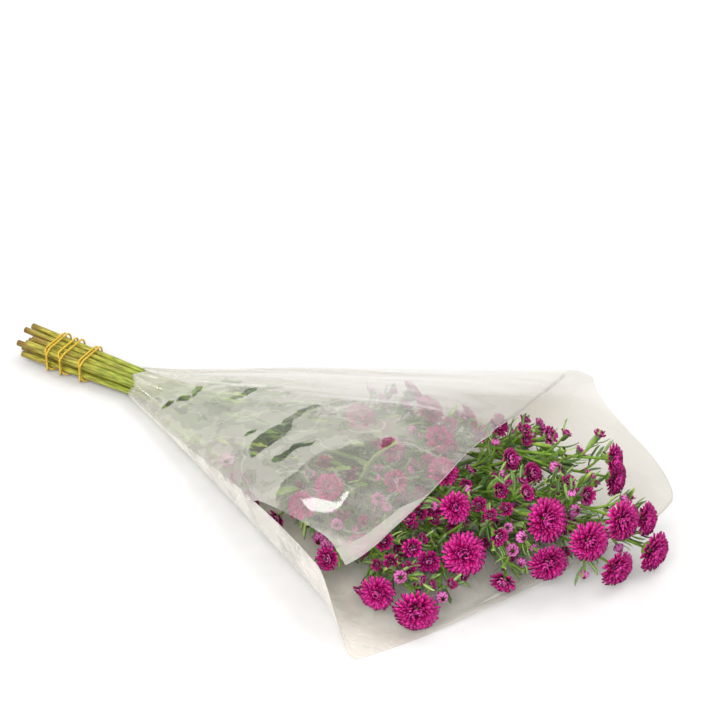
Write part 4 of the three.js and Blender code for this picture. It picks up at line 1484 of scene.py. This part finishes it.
def folds(x, q):
    """Height of the soft folds that fan out from the neck of the sleeve, in millimetres"""
    fade = (1 - q**8) * smooth((x - SLEEVE_START) / 90)
    fan = noise.noise(Vector((q * 5.5, (x - SLEEVE_START) / 170, 3.1)))
    ripple = noise.noise(Vector((q * 14 + x / 90, (x - SLEEVE_START) / 75, 7.7)))
    gathered = PLEATS * (1 - smooth((x - SLEEVE_START) / 85)) * cos(17 * asin(q) + 3 * ripple)
    return fade * (1.8 * fan + 0.5 * ripple) + gathered


def sheet(rows, place):
    """A grid whose points place(row, u) puts on a sheet, with their haze and distance to the hem"""
    bm = bmesh.new()
    haze_layer = bm.verts.layers.float.new("haze")
    seam_layer = bm.verts.layers.float.new("in_seam")
    bmesh.ops.create_grid(bm, x_segments=SHEET_COLUMNS, y_segments=rows * FINER, size=1)
    for vert in bm.verts:
        point, haze, to_seam = place(rows * (vert.co.y + 1) / 2, vert.co.x)
        vert.co = point
        vert[haze_layer] = haze
        vert[seam_layer] = to_seam
    return bm


def lower_place(row, u):
    q = sin(u * pi / 2)
    x = row_x(row, q)
    along_lip = sin((q + 0.8) / 1.1 * pi) if -0.8 < q < 0.3 else 0
    last = BODY_ROWS + FLAP_ROWS
    lip = LIP_RISE * along_lip * smooth((row - last + 1.5) / 1.5)
    rise = max(0, folds(x + ELSEWHERE, q)) * 0.5
    haze = lerp(LOWER_HAZE, FRONT_HAZE, smooth((-q - 0.75) / 0.2))
    return Vector((x, q * half_width(x), lower_sheet(x, q) + lip + rise)), haze, NO_HEM


def upper_place(row, u):
    apart = SLIT * max(0, row - SEALED_ROWS) / (BODY_ROWS - SEALED_ROWS)
    q = lerp(sin(u * pi / 2), 1, apart)
    x = row_x(row, q)
    seam = lerp(*SEAM, smooth((-q - 0.5) / 0.12))
    return Vector((x, q * half_width(x), upper_sheet(x, q) + folds(x, q))), 1, mouth_edge(q) - x - seam


upper = sheet(BODY_ROWS, upper_place)
sleeve_bm = sheet(BODY_ROWS + FLAP_ROWS, lower_place)
bmesh.ops.reverse_faces(sleeve_bm, faces=sleeve_bm.faces[:])
sleeve_bm.from_mesh(mesh_of(upper, "upper_sheet"))
bmesh.ops.remove_doubles(sleeve_bm, verts=sleeve_bm.verts[:], dist=0.02)
film_area = sum(face.calc_area() for face in sleeve_bm.faces)
sleeve = finished_piece("sleeve_film_sheet", sleeve_bm, [clear_film], "film", "sleeve_film")
shell = sleeve.modifiers.new("film_thickness", "SOLIDIFY")
shell.thickness = FILM_THICKNESS * MM
shell.offset = 0
print("film of the sleeve, square metres:", round(film_area * MM * MM, 3))

# %% [markdown]
# The object lies on a plain pale floor in soft light. A big softbox above and behind it and another in
# front, with a pale world all round, leave only a faint shadow. Film would mirror the big ones as
# white sheets that hide its edge, so they light the object but aren't mirrored. What the film mirrors
# is the world and a narrow strip on the left, which leaves one bright mark on its bulge.

# %% Floor and lights
def floor_material():
    material, tree = new_material("matt_white_table")
    colour = ramp(tree, grain(tree, 30.0), (0.3, "CCCBCA"), (0.7, "D1D0CF"))
    finish_with(tree, {"Roughness": 0.8, "Specular IOR Level": 0.2}, colour)
    return material


def softbox(name, place, aim, size, power, turn=0.0, mirrored=True):
    """A rectangle of light of this size in metres and power in watts, turned by degrees"""
    lamp = bpy.data.lights.new(name, "AREA")
    lamp.shape = "RECTANGLE"
    lamp.size, lamp.size_y = size
    lamp.energy = power
    holder = in_scene(name, lamp)
    holder.visible_glossy = mirrored
    holder.location = place
    facing_aim = (Vector(aim) - Vector(place)).to_track_quat("-Z", "Y")
    holder.rotation_euler = (facing_aim @ Quaternion((0, 0, 1), radians(turn))).to_euler()


floor_bm = bmesh.new()
bmesh.ops.create_grid(floor_bm, x_segments=1, y_segments=1, size=6)
table = in_scene("table", mesh_of(floor_bm, "table"))
table.data.materials.append(floor_material())

softbox("top_softbox", (0.85, 1.45, 3.1), (0, 0, 0), (2.4, 2.4), 54, mirrored=False)
softbox("front_softbox", (0.5, -2.1, 1.9), (0.05, 0, 0), (2.2, 2.2), 80, mirrored=False)
softbox("side_strip", (-1.215, 0.077, 1.055), (0.03, -0.12, 0.07), (0.66, 0.14), 2.5, -68)

world = bpy.data.worlds.new("pale_studio")
world.use_nodes = True
background = world.node_tree.nodes["Background"]
background.inputs["Color"].default_value = linear("F7F7F8")
background.inputs["Strength"].default_value = 1.0
bpy.context.scene.world = world
bpy.context.scene.view_settings.view_transform = "Standard"
